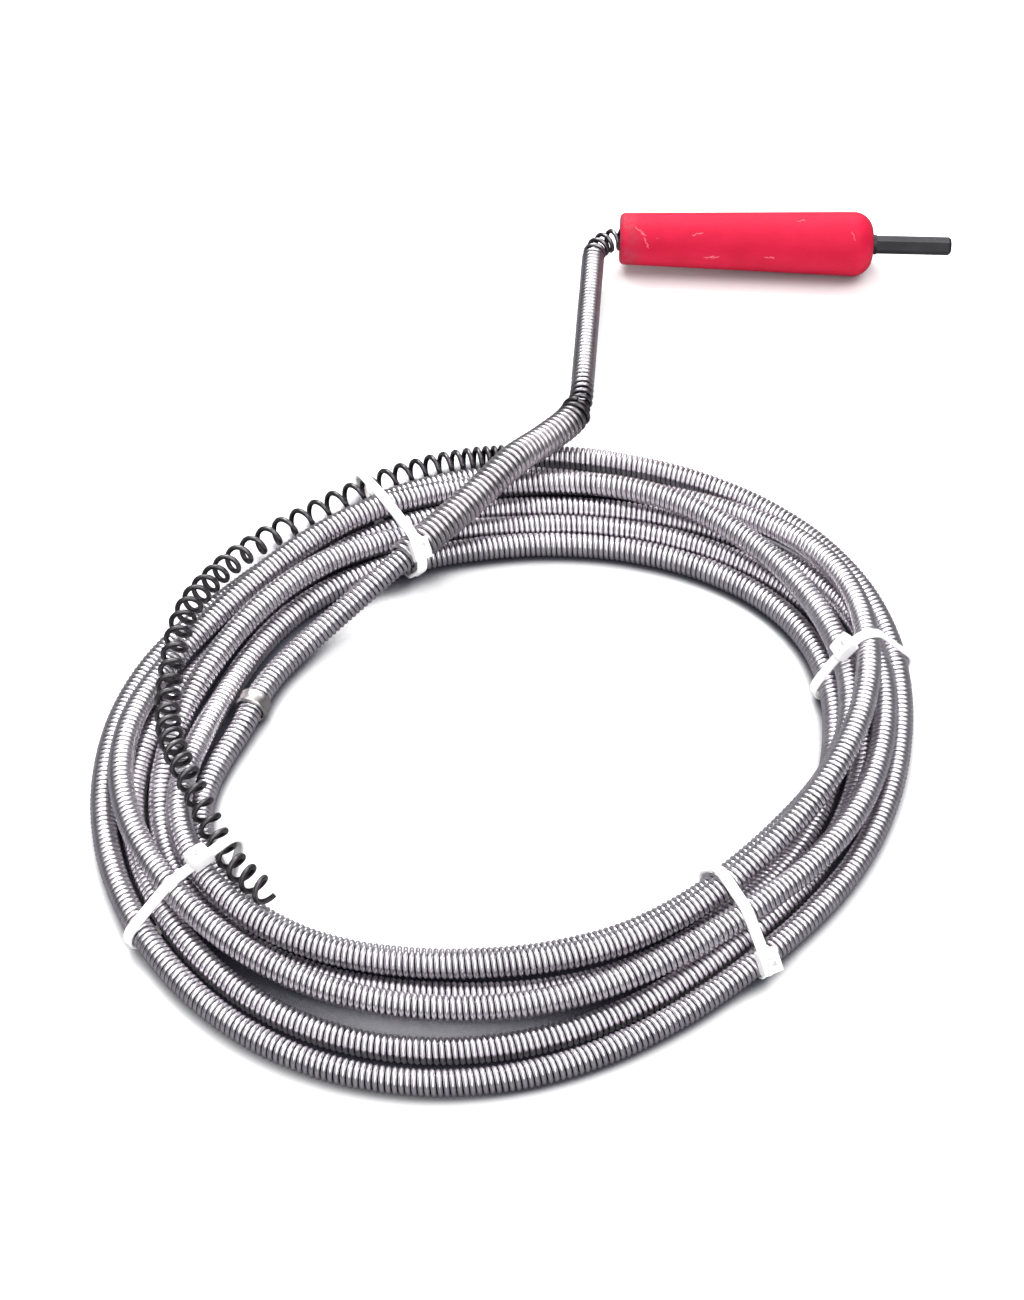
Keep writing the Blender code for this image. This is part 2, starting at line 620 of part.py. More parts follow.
# ---------------------------------------------------------------- cable pieces
def make_cable_and_guard(points, head_start):
    """The cable from the lower pivot round the laps to the head, and the guard spring over its lead."""
    pivot = Vector(LOWER_PIVOT)
    lead_dir = (Vector(points[0]) - pivot).normalized()
    path = [pivot + lead_dir * LEAD_SETBACK] + [Vector(p) for p in points[:head_start]]
    finish("cable_coil", tube(path, CABLE_R, CABLE_BORE_R), "cable_steel")

    stop = next(i for i in range(len(points)) if points[i][1] < GUARD_END_Y)
    finish("guard_spring", tube(path[:stop + 1], GUARD_R, SLEEVE_BORE_R, 12, 12), "guard_steel")


def make_ferrule(points):
    """Joint ferrule on the lead."""
    k = min(range(LEAD_POINTS),
            key=lambda i: math.hypot(points[i][0] - FERRULE_AT[0], points[i][1] - FERRULE_AT[1]))
    start, end = Vector(points[k]), Vector(points[k + 1])
    half = (end - start).normalized() * FERRULE_HALF_L
    middle = start.lerp(end, 0.5)
    bm = tube([middle - half, middle + half], FERRULE_R - FERRULE_TRIM, SLEEVE_BORE_R, 16, 16)
    finish("joint_ferrule", bm, "ferrule_steel")


def make_head(points, head_start):
    """Boring head: the open windings, and its free tip with an origin of its own."""
    path = [Vector(p) for p in points[head_start - 1:]]
    path[0] = path[0] + (path[1] - path[0]).normalized() * HEAD_SETBACK
    lengths = distances_along(path)
    total = lengths[-1]
    tip = min(range(len(path)), key=lambda i: abs(total - lengths[i] - TIP_L))
    split = lengths[tip] / total
    gap = TIP_HALF_GAP / total
    finish("boring_head", head_winding(path, 0.0, split - gap), "head_steel")
    finish("head_tip", head_winding(path, split + gap, 1.0), "head_steel", pivot=path[tip])


def make_riser():
    """Straight cable from the lower pivot, its origin, towards the upper one."""
    pivot = Vector(LOWER_PIVOT)
    span = Vector(UPPER_PIVOT) - pivot
    run = span.normalized()
    length = span.length - RISER_SETBACK
    path = [pivot + run * (s * length / RISER_SPANS) for s in range(RISER_SPANS + 1)]
    finish("cable_riser", tube(path, CABLE_R, CABLE_BORE_R, ball_start=True), "cable_steel", pivot=pivot)


# ---------------------------------------------------------------- handle pieces, about the guide's X axis
def make_guide():
    """Empty at the upper pivot, with X along the handle, that carries the handle's pieces."""
    guide = bpy.data.objects.new("handle_axis", None)
    bpy.context.collection.objects.link(guide)
    guide.location = (Vector(UPPER_PIVOT) + Vector(FRAME_SHIFT)) * MM
    guide.rotation_euler = (0, 0, HANDLE_YAW)
    return guide


def make_neck(guide):
    """The cable's end, from the upper pivot into the barrel."""
    path = [Vector((x, 0, 0)) for x in (0.0, NECK_BEND_X, NECK_END)]
    bm = tube(path, CABLE_R, CABLE_BORE_R, 12, 4, ball_start=True)
    finish("cable_neck", bm, "cable_steel", parent=guide)


def make_sleeve(guide):
    """Straight taper, small corner at the cable end, full round at the drill end."""
    corner, nose, wall = 2.2, 8.0, 5.5
    slope = (HANDLE_R1 - HANDLE_R0) / HANDLE_L
    nose_r = HANDLE_R0 + slope * (HANDLE_L - nose)
    profile = arc(HANDLE_START + corner, HANDLE_R0 - corner + 0.05, corner, 180, 92, 4)
    profile += arc(HANDLE_END - nose, nose_r - nose, nose, 88, 0, 7)
    profile += [(HANDLE_END, END_HOLE_R), (HANDLE_END - wall, END_HOLE_R),
                (HANDLE_END - wall, HANDLE_BORE_R), (HANDLE_START, HANDLE_BORE_R)]
    finish("handle_sleeve", lathe(profile, 32), "handle_red", parent=guide)


def make_bushes(guide):
    """A bush in each end of the sleeve; the rear one has a collar through the end hole."""
    hole_r, chamfer_r = 5.15, 0.6
    start, chamfer_end, end = HANDLE_START + 0.8, HANDLE_START + 1.6, HANDLE_START + 14
    profile = [(start, hole_r + chamfer_r), (start, BUSH_R), (end, BUSH_R), (end, hole_r),
               (chamfer_end, hole_r)]
    finish("front_bush", lathe(profile), "bush_nylon", parent=guide)

    hole_r, collar_r = 4.3, 4.65
    start, flange_end, end = HANDLE_END - 7.5, HANDLE_END - 5.8, HANDLE_END - 0.4
    profile = [(start, hole_r), (start, BUSH_R), (flange_end, BUSH_R), (flange_end, collar_r),
               (end, collar_r), (end, hole_r)]
    finish("rear_bush", lathe(profile), "bush_nylon", parent=guide)


def make_barrel(guide):
    """Coupling barrel: holds the cable's end in front and the shank's stem behind."""
    barrel_r, chamfer_x, chamfer_r = 7.35, 0.6, 6.8
    web_start, web_end, web_hole_r = BARREL_START + 23, BARREL_START + 26, 3.0
    profile = [
        (BARREL_START, END_HOLE_R), (BARREL_START, chamfer_r), (BARREL_START + chamfer_x, barrel_r),
        (BARREL_END - chamfer_x, barrel_r), (BARREL_END, chamfer_r), (BARREL_END, STEM_R + GAP),
        (web_end, STEM_R + GAP), (web_end, web_hole_r), (web_start, web_hole_r),
        (web_start, END_HOLE_R),
    ]
    barrel = finish("coupling_barrel", lathe(profile), "barrel_steel", parent=guide)
    for name, x in SCREW_XS.items():
        cut("screw_hole_" + name, rod_z(x, SCREW_HOLE_Z, SCREW_HOLE_R), guide, barrel)
        finish("set_screw_" + name, rod_z(x, SCREW_Z, SCREW_R), "screw_steel", parent=guide)
    cut("pin_hole_barrel", rod_z(PIN_X, PIN_HOLE_Z, PIN_HOLE_R), guide, barrel)
    finish("cross_pin", rod_z(PIN_X, PIN_Z, PIN_R), "screw_steel", parent=guide)


def make_washers(guide):
    """Thrust washers either side of the barrel."""
    for name, start, end, hole_r in (
        ("front", BARREL_START - 1.5, BARREL_START - WASHER_GAP, END_HOLE_R),
        ("rear", BARREL_END + WASHER_GAP, BARREL_END + 1.6, 4.35),
    ):
        profile = [(start, hole_r), (start, WASHER_R), (end, WASHER_R), (end, hole_r)]
        finish("thrust_washer_" + name, lathe(profile), "washer_steel", parent=guide)


def make_shank(guide):
    """Drive shank: round stem through the barrel and sleeve end, then the hexagon outside."""
    start, stem_end = BARREL_START + 26.5, HANDLE_END + 1.5
    hex_r = HEX_AF / math.sqrt(3)
    hex_end = stem_end + HEX_L
    bm = bmesh.new()
    stem = [axis_ring(bm, x, r, 24)
            for x, r in ((start, 3.4), (start + 0.6, STEM_R), (stem_end, STEM_R))]
    skin(bm, stem)
    bm.faces.new(stem[0])
    hexagon = [axis_ring(bm, x, r, 6)
               for x, r in ((stem_end, hex_r), (hex_end - HEX_CHAMFER[0], hex_r),
                            (hex_end, hex_r - HEX_CHAMFER[1]))]
    join_rings(bm, stem[-1], hexagon[0])
    skin(bm, hexagon)
    bm.faces.new(hexagon[-1])
    shank = finish("drive_shank", bm, "shank_black", parent=guide)
    cut("pin_hole_shank", rod_z(PIN_X, PIN_HOLE_Z, PIN_HOLE_R), guide, shank)


def build():
    for obj in list(bpy.data.objects):
        bpy.data.objects.remove(obj)
    for name, (colour, metallic, roughness) in MATERIALS.items():
        make_material(name, colour, metallic, roughness)

    layout, radii = first_layout()
    points = settle(layout, radii)
    head_start = next(i for i in range(len(radii)) if radii[i] == HEAD_R)

    make_cable_and_guard(points, head_start)
    make_ferrule(points)
    make_head(points, head_start)
    for name, (inner, outer) in TIES.items():
        make_tie(name, points, radii, inner, outer, 1 if name == "tie_front" else -1)
    make_riser()

    guide = make_guide()
    for make in (make_neck, make_sleeve, make_bushes, make_barrel, make_washers, make_shank):
        make(guide)


build()
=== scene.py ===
"""The finished looks of the drain auger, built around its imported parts.

The coiled cable lies flat on the floor.  Its free end leaves the coil at the back, runs on towards +Y
and turns into the handle, which points along +X.  Cable, guard spring and boring head are real wound
wire.  Lengths are in mm about the coil's centre unless they say otherwise; angles round the coil are
in degrees, anticlockwise from +X.
"""

import json
import math

import bmesh
import bpy
import numpy as np
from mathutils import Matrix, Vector


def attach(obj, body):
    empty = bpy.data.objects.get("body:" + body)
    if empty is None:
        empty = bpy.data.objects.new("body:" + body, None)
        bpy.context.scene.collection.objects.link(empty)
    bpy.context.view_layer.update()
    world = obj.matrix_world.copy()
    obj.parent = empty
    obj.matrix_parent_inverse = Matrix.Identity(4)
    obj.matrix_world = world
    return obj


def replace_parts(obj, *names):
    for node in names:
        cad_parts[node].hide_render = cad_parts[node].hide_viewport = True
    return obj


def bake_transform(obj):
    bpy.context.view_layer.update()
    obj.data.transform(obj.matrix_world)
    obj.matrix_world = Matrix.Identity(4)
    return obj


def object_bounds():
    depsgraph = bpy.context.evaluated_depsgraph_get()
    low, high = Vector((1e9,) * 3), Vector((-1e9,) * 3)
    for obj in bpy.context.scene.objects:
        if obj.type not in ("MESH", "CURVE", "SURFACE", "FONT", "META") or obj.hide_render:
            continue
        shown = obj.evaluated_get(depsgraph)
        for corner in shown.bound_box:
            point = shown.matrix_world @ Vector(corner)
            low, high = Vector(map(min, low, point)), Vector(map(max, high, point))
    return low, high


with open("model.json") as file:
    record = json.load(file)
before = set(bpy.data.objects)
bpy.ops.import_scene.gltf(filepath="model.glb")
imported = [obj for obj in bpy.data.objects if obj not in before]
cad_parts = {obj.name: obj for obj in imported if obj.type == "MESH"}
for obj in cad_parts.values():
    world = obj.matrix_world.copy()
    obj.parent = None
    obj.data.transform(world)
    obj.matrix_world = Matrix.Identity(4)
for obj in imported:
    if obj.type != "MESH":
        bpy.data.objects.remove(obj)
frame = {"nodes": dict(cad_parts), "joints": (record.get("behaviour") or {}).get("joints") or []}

CAD_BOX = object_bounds()
MM = 0.001
FRAME_SHIFT = np.array((-20.5, -64.0, 0.0))    # from the coil's centre to the middle of the footprint

# ---------------------------------------------------------------- driving dimensions
CABLE_R = 4.5            # outside of the windings, as for the head and the guard
CABLE_WIRE = 0.89        # radius of the wire, likewise
CABLE_PITCH = 1.93
HEAD_R = 4.75
HEAD_WIRE = 0.96
GUARD_R = 6.1
GUARD_WIRE = 1.02
SHADE_CORE_R = 2.5             # dark tube inside the coiled cable: painted shade seen between the windings
FERRULE_R = 5.9          # room the ferrule takes up
GAP = 0.3                # least gap between neighbouring pieces
FLOOR_Z = CABLE_R + 0.15

STRAP_T = 1.2            # cable tie strap
STRAP_W = 3.8
LOCK_T = 4.6             # its locking block
LOCK_W = 6.6
LOCK_L = 7.8
# each tie lies in a vertical plane through two points (inner end, outer end) of the bundle
TIES = {
    "tie_top": ((-26.8, 71.9), (-45.5, 114.1)),
    "tie_right": ((112.5, 24.6), (139.2, 35.7)),
    "tie_front": ((70.6, -66.4), (88.4, -103.3)),
    "tie_left": ((-92.6, -60.0), (-117.9, -83.9)),
}
# where the block sits, outwards from the tie's inner end, if not at BLOCK_LEAN
BLOCK_AT = {"tie_left": 6.5, "tie_right": 9.0}
BLOCK_LEAN = math.radians(52)

LOWER_PIVOT = np.array((30.5, 154.5, 15.2))    # where the free end leaves the coil
UPPER_PIVOT = np.array((38.6, 262.4, 13.2))    # where the cable turns into the handle
BEND_R = 12.4                        # the cable's sweep between the riser and the handle
HANDLE_YAW = math.radians(-2.1)
HANDLE_START = 10.0                  # from the upper pivot to the handle's cable end
HANDLE_L = 102.0
HANDLE_R0 = 10.25                    # at the cable end
HANDLE_R1 = 13.0                     # at the drill end
HANDLE_BORE = 7.9

# ---------------------------------------------------------------- layout of the coil
# Laps of cable side by side, numbered 0 (inside) to 5 (outside).  At each angle every slot has a
# radius and a height: floor layer, nested second layer, or top of the pile.
LOW, MID, TOP = FLOOR_Z, 12.9, 21.0
SLOTS = {
    195: [(106.5, LOW), (111.5, 12), (118, LOW), (127.5, LOW), (133, MID), (138, LOW)],
    210: [(112.5, LOW), (117.5, MID), (122, LOW), (131.3, LOW), (127, MID), (140.6, LOW)],
    225: [(110, LOW), (115.5, MID), (120, LOW), (133, LOW), (127, MID), (143.5, LOW)],
    240: [(102, LOW), (110, 10), (115.5, LOW), (136, LOW), (123.5, 13), (147, LOW)],
    255: [(96, LOW), (103, MID), (108.5, LOW), (131.5, LOW), (119.5, 11), (143.5, LOW)],
    270: [(92.5, LOW), (99.5, MID), (105.5, LOW), (127, LOW), (115.5, 11), (139.6, LOW)],
    285: [(91.5, LOW), (100, MID), (107, LOW), (121.5, LOW), (114.5, MID), (132, LOW)],
    300: [(93.5, LOW), (100.5, MID), (107, LOW), (118, LOW), (113, MID), (127.3, LOW)],
    315: [(94.5, LOW), (100, MID), (104, LOW), (114, LOW), (112, 14), (123.5, LOW)],
    330: [(101, 8.5), (106, 17), (109, LOW), (118.5, LOW), (121.5, MID), (129, LOW)],
    345: [(115.5, MID), (113, 19.5), (110.5, LOW), (120.5, LOW), (126, MID), (133.4, LOW)],
    360: [(119.5, MID), (123.5, TOP), (115.5, LOW), (125.5, LOW), (131, MID), (136.5, LOW)],
}
# the bundle fans out again; slots are numbered afresh because the two inner laps have crossed over
# the next three
RENUMBERED = {0: 3, 1: 4, 2: 0, 3: 1, 4: 2, 5: 5}
SLOTS_AFTER = {
    15: [(120, LOW), (130, LOW), (135, MID), (125, MID), (132.5, 20.5), (141, LOW)],
    30: [(121.5, LOW), (131, LOW), (140.8, LOW), (126.5, MID), (141.5, 14), (152, LOW)],
    45: [(114, LOW), (123.4, LOW), (132.8, LOW), (125.5, 13.5), (141, 9), (150.7, LOW)],
    60: [(106.5, LOW), (115.8, LOW), (125, LOW), (128, 13.5), (134.3, LOW), (149.5, LOW)],
    75: [(100.5, LOW), (110, LOW), (119.5, LOW), (124, MID), (129.5, LOW), (146.7, LOW)],
    90: [(94.3, LOW), (104, LOW), (113.5, LOW), (123, LOW), (132.6, LOW), (142.5, LOW)],
    105: [(94, LOW), (103.3, LOW), (112.5, LOW), (118, 10), (126, LOW)],
    120: [(95.5, LOW), (100.5, MID), (105, LOW), (112.5, MID), (118, LOW)],
    135: [(96.5, LOW), (101.5, MID), (107, LOW), (112, MID), (118, LOW)],
    150: [(96, LOW), (102, MID), (107.5, LOW), (113.5, MID), (119, LOW)],
    165: [(98, LOW), (103.5, MID), (109.5, LOW), (119, LOW), (129, LOW)],
    180: [(102.5, 9), (110.5, LOW), (120, LOW), (126, MID), (131.3, LOW)],
}
# the boring head leaves the outermost slot and is laid back over the bundle to its inner side:
# angle, radius, height
HEAD_PATH = [
    (105, 136.0, 5.6), (120, 130.7, 5.6), (135, 128.8, 8.0), (150, 121.5, 15.0), (165, 116.2, 17.8),
    (180, 113.0, 18.5), (195, 109.5, 18.5), (210, 107.6, 14.0), (228, 108.2, 13.2),
]
# the lead, from the lower pivot over the bundle down to the inside of the coil: x, y, z
LEAD = [
    (25.0, 148.2, 16.0), (18.1, 140.4, 16.9), (10.0, 130.1, 17.6), (2.3, 120.2, 18.4),
    (-9.6, 105.9, 18.6), (-21.3, 91.8, 18.2), (-32.8, 79.1, 17.0), (-44.3, 68.0, 14.0),
    (-55.7, 57.4, 10.0), (-66.9, 46.0, 7.0), (-77.9, 33.6, 5.2), (-85.1, 19.9, 5.0),
    (-91.1, 7.1, 5.9), (-96.0, -3.3, 5.4), (-99.5, -12.5, LOW), (-101.8, -21.0, LOW),
]
FERRULE_AT = (-86.8, 16.3)
GUARD_TO = (-36.0, 79.0)
LAP_SLOTS = 6
LAPS_END = 360.0 * LAP_SLOTS
COIL_START = 198.0       # angle at which the laps take over from the lead
HEAD_FROM = 94           # angles past the last whole lap where the head starts and ends
HEAD_TO = 226.01
CABLE_STEP = 9.0         # degrees between layout points, for the cable and for the head
HEAD_STEP = 4.5
EARLY_POINTS = 60        # layout points that reach past the lead but not round the first lap


def hermite(t, start, leave, stop, arrive):
    """Cubic from start to stop with the slopes leave and arrive, for t from 0 to 1."""
    return ((2 * t**3 - 3 * t**2 + 1) * start + (t**3 - 2 * t**2 + t) * leave
            + (3 * t**2 - 2 * t**3) * stop + (t**3 - t**2) * arrive)


def through_knots(knots, x):
    """Value at x of a smooth curve through knots [(x, vector)]."""
    k = 0
    while k < len(knots) - 2 and knots[k + 1][0] < x:
        k += 1
    x_start, start = knots[k]
    x_stop, stop = knots[k + 1]
    x_prev, prev = knots[k - 1] if k > 0 else (2 * x_start - x_stop, 2 * start - stop)
    if k + 2 < len(knots):
        x_next, following = knots[k + 2]
    else:
        x_next, following = 2 * x_stop - x_start, 2 * stop - start
    span = x_stop - x_start
    leave = (stop - prev) / (x_stop - x_prev) * span
    arrive = (following - start) / (x_next - x_start) * span
    return hermite((x - x_start) / span, start, leave, stop, arrive)


def lap_knots():
    """Knots (angle, (radius, height)) of the whole cable, lap after lap, and of the head."""
    slot, knots = 0, []
    for lap in range(LAP_SLOTS):
        for angle, row in SLOTS.items():
            knots.append((angle + 360.0 * lap, np.array(row[slot])))
        slot = RENUMBERED[slot]
        for angle, row in SLOTS_AFTER.items():
            if slot < len(row):
                knots.append((angle + 360.0 * (lap + 1), np.array(row[slot])))
        slot += 1
    return knots + [(angle + LAPS_END, np.array((r, z))) for angle, r, z in HEAD_PATH]


def first_layout():
    """Centreline points from the lower pivot to the head tip, and the outside radius at each."""
    knots = lap_knots()
    lead = [(float(i), np.array(p)) for i, p in enumerate(LEAD)]
    spans = len(lead) - 1
    points, outer = [], []
    for i in range(2 * spans + 1):
        point = through_knots(lead, i * spans / (2 * spans))
        points.append(point)
        outer.append(GUARD_R if point[1] > GUARD_TO[1] else CABLE_R)
    angle = COIL_START
    while angle < LAPS_END + HEAD_TO:
        radius, z = through_knots(knots, angle)
        turn = math.radians(angle)
        points.append(np.array((radius * math.cos(turn), radius * math.sin(turn), z)))
        outer.append(HEAD_R if angle >= LAPS_END + HEAD_FROM else CABLE_R)
        angle += CABLE_STEP if angle < LAPS_END + 90 else HEAD_STEP
    points = np.round(np.array(points), 6)
    outer = np.array(outer)
    near = np.hypot(points[:, 0] - FERRULE_AT[0], points[:, 1] - FERRULE_AT[1]) < 9
    near[EARLY_POINTS:] = False
    outer[near] = FERRULE_R
    return points, outer


def closest(start_a, run_a, start_b, run_b):
    """Shares 0..1 along segments a and b (arrays of rows) at which they come closest."""
    offset = start_a - start_b
    aa = (run_a * run_a).sum(1)
    ab = (run_a * run_b).sum(1)
    a_off = (run_a * offset).sum(1)
    bb = (run_b * run_b).sum(1)
    b_off = (run_b * offset).sum(1)
    den = aa * bb - ab * ab
    on_a = np.where(den > 1e-9, (ab * b_off - a_off * bb) / np.maximum(den, 1e-9), 0.5)
    on_a = np.clip(on_a, 0, 1)
    on_b = np.clip((ab * on_a + b_off) / bb, 0, 1)
    on_a = np.clip((ab * on_b - a_off) / aa, 0, 1)
    return on_a, on_b


def floor_height(points, outer):
    """Least height of the centreline: the straps run under the bundle and lift it a little."""
    flat_w, fade_w, clearance = 4.0, 22.0, 0.35
    least = np.where(outer == FERRULE_R, FERRULE_R + 0.1, FLOOR_Z)
    for (x, y), (outer_x, outer_y) in TIES.values():
        run_x, run_y = outer_x - x, outer_y - y
        length = math.hypot(run_x, run_y)
        off = ((points[:, 0] - x) * run_y - (points[:, 1] - y) * run_x) / length
        same_side = (points[:, 0] * run_x + points[:, 1] * run_y) > 0
        lift = np.clip(1 - (np.abs(off) - flat_w) / fade_w, 0, 1)
        lift = lift * lift * (3 - 2 * lift)
        least = np.maximum(least, FLOOR_Z + np.where(same_side, lift, 0) * (STRAP_T + clearance))
    return least


ROUNDS = 420
LATE_SHARE = 0.7         # after this share of the rounds the layout no longer pulls
PAIR_EVERY = 15          # rounds between searches for neighbours
PAIR_REACH = 34.0
EXTRA_GAP = 0.08
STIFF, STIFF_LATE = 0.25, 0.15
HOMING = 0.05            # pull back to the layout
PUSH = 0.55              # share of a shortfall made up in one push
OVERSHOOT = 1.6


def settle(points, outer):
    """Lets the laps push each other GAP apart, staying smooth and above the floor."""
    goal = points.copy()
    count = len(points)
    segment_r = np.maximum(outer[:-1], outer[1:])
    for turn in range(ROUNDS):
        if turn % PAIR_EVERY == 0:
            mid = (points[:-1] + points[1:]) / 2
            dist = ((mid[:, None, :] - mid[None, :, :]) ** 2).sum(2)
            i, j = np.nonzero(dist < PAIR_REACH**2)
            keep = j > i + 4
            i, j = i[keep], j[keep]
            need = segment_r[i] + segment_r[j] + GAP + EXTRA_GAP
        late = turn > ROUNDS * LATE_SHARE
        bend = np.zeros_like(points)
        bend[2:-2] = (-points[:-4] + 4 * points[1:-3] - 6 * points[2:-2] + 4 * points[3:-1]
                      - points[4:]) / 16
        points = points + (STIFF_LATE if late else STIFF) * bend
        if not late:
            points = points + HOMING * (goal - points)
        for _ in range(2):
            start_a, run_a = points[i], points[i + 1] - points[i]
            start_b, run_b = points[j], points[j + 1] - points[j]
            on_a, on_b = closest(start_a, run_a, start_b, run_b)
            gap = (start_a + on_a[:, None] * run_a) - (start_b + on_b[:, None] * run_b)
            length = np.sqrt((gap * gap).sum(1))
            short = np.where(length < need, need - length, 0.0)
            push = gap / np.maximum(length, 1e-6)[:, None] * (0.5 * PUSH * short)[:, None]
            move = np.zeros_like(points)
            load = np.zeros(count)
            for k, weight, sign in ((i, 1 - on_a, 1), (i + 1, on_a, 1),
                                    (j, 1 - on_b, -1), (j + 1, on_b, -1)):
                for axis in range(3):
                    move[:, axis] += sign * np.bincount(k, weight * push[:, axis], count)
                load += np.bincount(k, weight * (short > 0), count)
            points = points + move / np.maximum(load, 1.0)[:, None] * OVERSHOOT
            points[:, 2] = np.maximum(points[:, 2], floor_height(points, outer))
        points[0] = goal[0]
    return np.round(points, 5)


# ---------------------------------------------------------------- curves
SMOOTH_STEPS = 26


def smooth(points):
    """A dense smooth curve through points."""
    gaps = np.linalg.norm(np.diff(points, axis=0), axis=1)
    run = np.concatenate([[0.0], np.cumsum(gaps)])
    slope = np.empty_like(points)
    slope[1:-1] = (points[2:] - points[:-2]) / (run[2:] - run[:-2])[:, None]
    slope[0] = (points[1] - points[0]) / gaps[0]
    slope[-1] = (points[-1] - points[-2]) / gaps[-1]
    t = (np.arange(SMOOTH_STEPS) / SMOOTH_STEPS)[None, :, None]
    gaps = gaps[:, None, None]
    curve = hermite(t, points[:-1, None], slope[:-1, None] * gaps,
                    points[1:, None], slope[1:, None] * gaps)
    return np.vstack([curve.reshape(-1, 3), points[-1:]])


def bezier(start, leave, arrive, stop, count=48):
    t = np.linspace(0, 1, count)[:, None]
    return ((1 - t) ** 3 * start + 3 * t * (1 - t) ** 2 * leave + 3 * t * t * (1 - t) * arrive
            + t**3 * stop)


def join(*parts):
    """Joins runs of points and drops repeats."""
    points = np.vstack(parts)
    moved = np.linalg.norm(np.diff(points, axis=0), axis=1) > 1e-4
    return points[np.concatenate([[True], moved])]


class Path:
    """A curve with its running length, direction and curvature at every point."""

    def __init__(self, points, step=0.4):
        run = np.concatenate([[0.0], np.cumsum(np.linalg.norm(np.diff(points, axis=0), axis=1))])
        self.run = np.linspace(0, run[-1], int(run[-1] / step) + 1)
        self.points = np.stack([np.interp(self.run, run, points[:, c]) for c in range(3)], 1)
        for _ in range(6):
            self.points[1:-1] += 0.25 * (self.points[2:] - 2 * self.points[1:-1]
                                         + self.points[:-2])
        tangents = np.gradient(self.points, self.run, axis=0)
        self.tangents = tangents / np.linalg.norm(tangents, axis=1)[:, None]
        bend = np.linalg.norm(np.gradient(self.tangents, self.run, axis=0), axis=1)
        self.curvature = np.convolve(np.pad(bend, 4, mode="edge"), np.ones(9) / 9, mode="valid")
        self.length = self.run[-1]

    def at(self, run):
        """Place, direction, upward normal and sideways normal at these lengths."""
        place = np.stack([np.interp(run, self.run, self.points[:, c]) for c in range(3)], 1)
        tangent = np.stack([np.interp(run, self.run, self.tangents[:, c]) for c in range(3)], 1)
        tangent /= np.linalg.norm(tangent, axis=1)[:, None]
        up = np.array([0.0, 0.0, 1.0])
        normal = up - (tangent @ up)[:, None] * tangent
        normal /= np.linalg.norm(normal, axis=1)[:, None]
        return place, tangent, normal, np.cross(tangent, normal)

    def near(self, x, y, low, high):
        """Length at which the curve passes closest to (x, y), between two lengths."""
        dist = np.hypot(self.points[:, 0] - x, self.points[:, 1] - y)
        dist[(self.run < low) | (self.run > high)] = 1e9
        return float(self.run[dist.argmin()])

    def nearest(self, point):
        return float(self.run[np.linalg.norm(self.points - point, axis=1).argmin()])


# ---------------------------------------------------------------- meshes
def link_mesh(name, mesh, material):
    mesh.materials.append(material)
    obj = bpy.data.objects.new(name, mesh)
    bpy.context.scene.collection.objects.link(obj)
    return obj


def tube(name, rings, material, values=None):
    """A capped tube through rings of points [ring, corner, xyz], with values kept per point."""
    count, sides = rings.shape[:2]
    start = np.arange(count - 1)[:, None] * sides
    here = np.arange(sides)[None, :]
    following = (here + 1) % sides
    quads = np.stack([start + here, start + following, start + sides + following,
                      start + sides + here], -1).reshape(-1, 4)
    first_cap = np.arange(sides)[::-1]
    last_cap = np.arange(sides) + (count - 1) * sides
    corners = np.concatenate([quads.ravel(), first_cap, last_cap])
    sizes = np.array([4] * len(quads) + [sides, sides])

    mesh = bpy.data.meshes.new(name)
    places = (rings.reshape(-1, 3) + FRAME_SHIFT) * MM
    mesh.vertices.add(len(places))
    mesh.vertices.foreach_set("co", places.astype(np.float32).ravel())
    mesh.loops.add(len(corners))
    mesh.loops.foreach_set("vertex_index", corners.astype(np.int32))
    mesh.polygons.add(len(sizes))
    starts = np.concatenate([[0], np.cumsum(sizes)[:-1]]).astype(np.int32)
    mesh.polygons.foreach_set("loop_start", starts)
    mesh.polygons.foreach_set("loop_total", sizes.astype(np.int32))
    mesh.polygons.foreach_set("use_smooth", np.full(len(sizes), True))
    mesh.update(calc_edges=True)
    for key, numbers in (values or {}).items():
        attribute = mesh.attributes.new(key, "FLOAT", "POINT")
        attribute.data.foreach_set("value", np.asarray(numbers, np.float32))
    mesh.validate()
    return link_mesh(name, mesh, material)


def from_bmesh(name, build, material, smooth_deg):
    """A mesh object from a bmesh in mm about the coil's centre."""
    bmesh.ops.recalc_face_normals(build, faces=build.faces)
    if build.calc_volume(signed=True) < 0:
        bmesh.ops.reverse_faces(build, faces=build.faces)
    for vert in build.verts:
        vert.co = (vert.co + Vector(FRAME_SHIFT)) * MM
    mesh = bpy.data.meshes.new(name)
    build.to_mesh(mesh)
    build.free()
    mesh.shade_smooth()
    mesh.set_sharp_from_angle(angle=math.radians(smooth_deg))
    return link_mesh(name, mesh, material)


def lathe_on(name, origin, axis, profile, material, sides, smooth_deg):
    """Turns a closed (x, r) profile about an axis."""
    x = Vector(axis).normalized()
    z = Vector((0, 0, 1))
    z = (z - z.dot(x) * x).normalized()
    y = z.cross(x)
    build = bmesh.new()
    rings = []
    for along, radius in profile:
        centre = Vector(origin) + x * along
        turns = [2 * math.pi * k / sides for k in range(sides)]
        rings.append([build.verts.new(centre + (y * math.cos(turn) + z * math.sin(turn)) * radius)
                      for turn in turns])
    for i, ring in enumerate(rings):
        other = rings[(i + 1) % len(rings)]
        for k in range(sides):
            m = (k + 1) % sides
            build.faces.new((ring[k], ring[m], other[m], other[k]))
    return from_bmesh(name, build, material, smooth_deg)


def bridge(build, ring, other):
    """Quads between two rings of vertices."""
    sides = len(ring)
    for k in range(sides):
        m = (k + 1) % sides
        build.faces.new((ring[k], other[k], other[m], ring[m]))


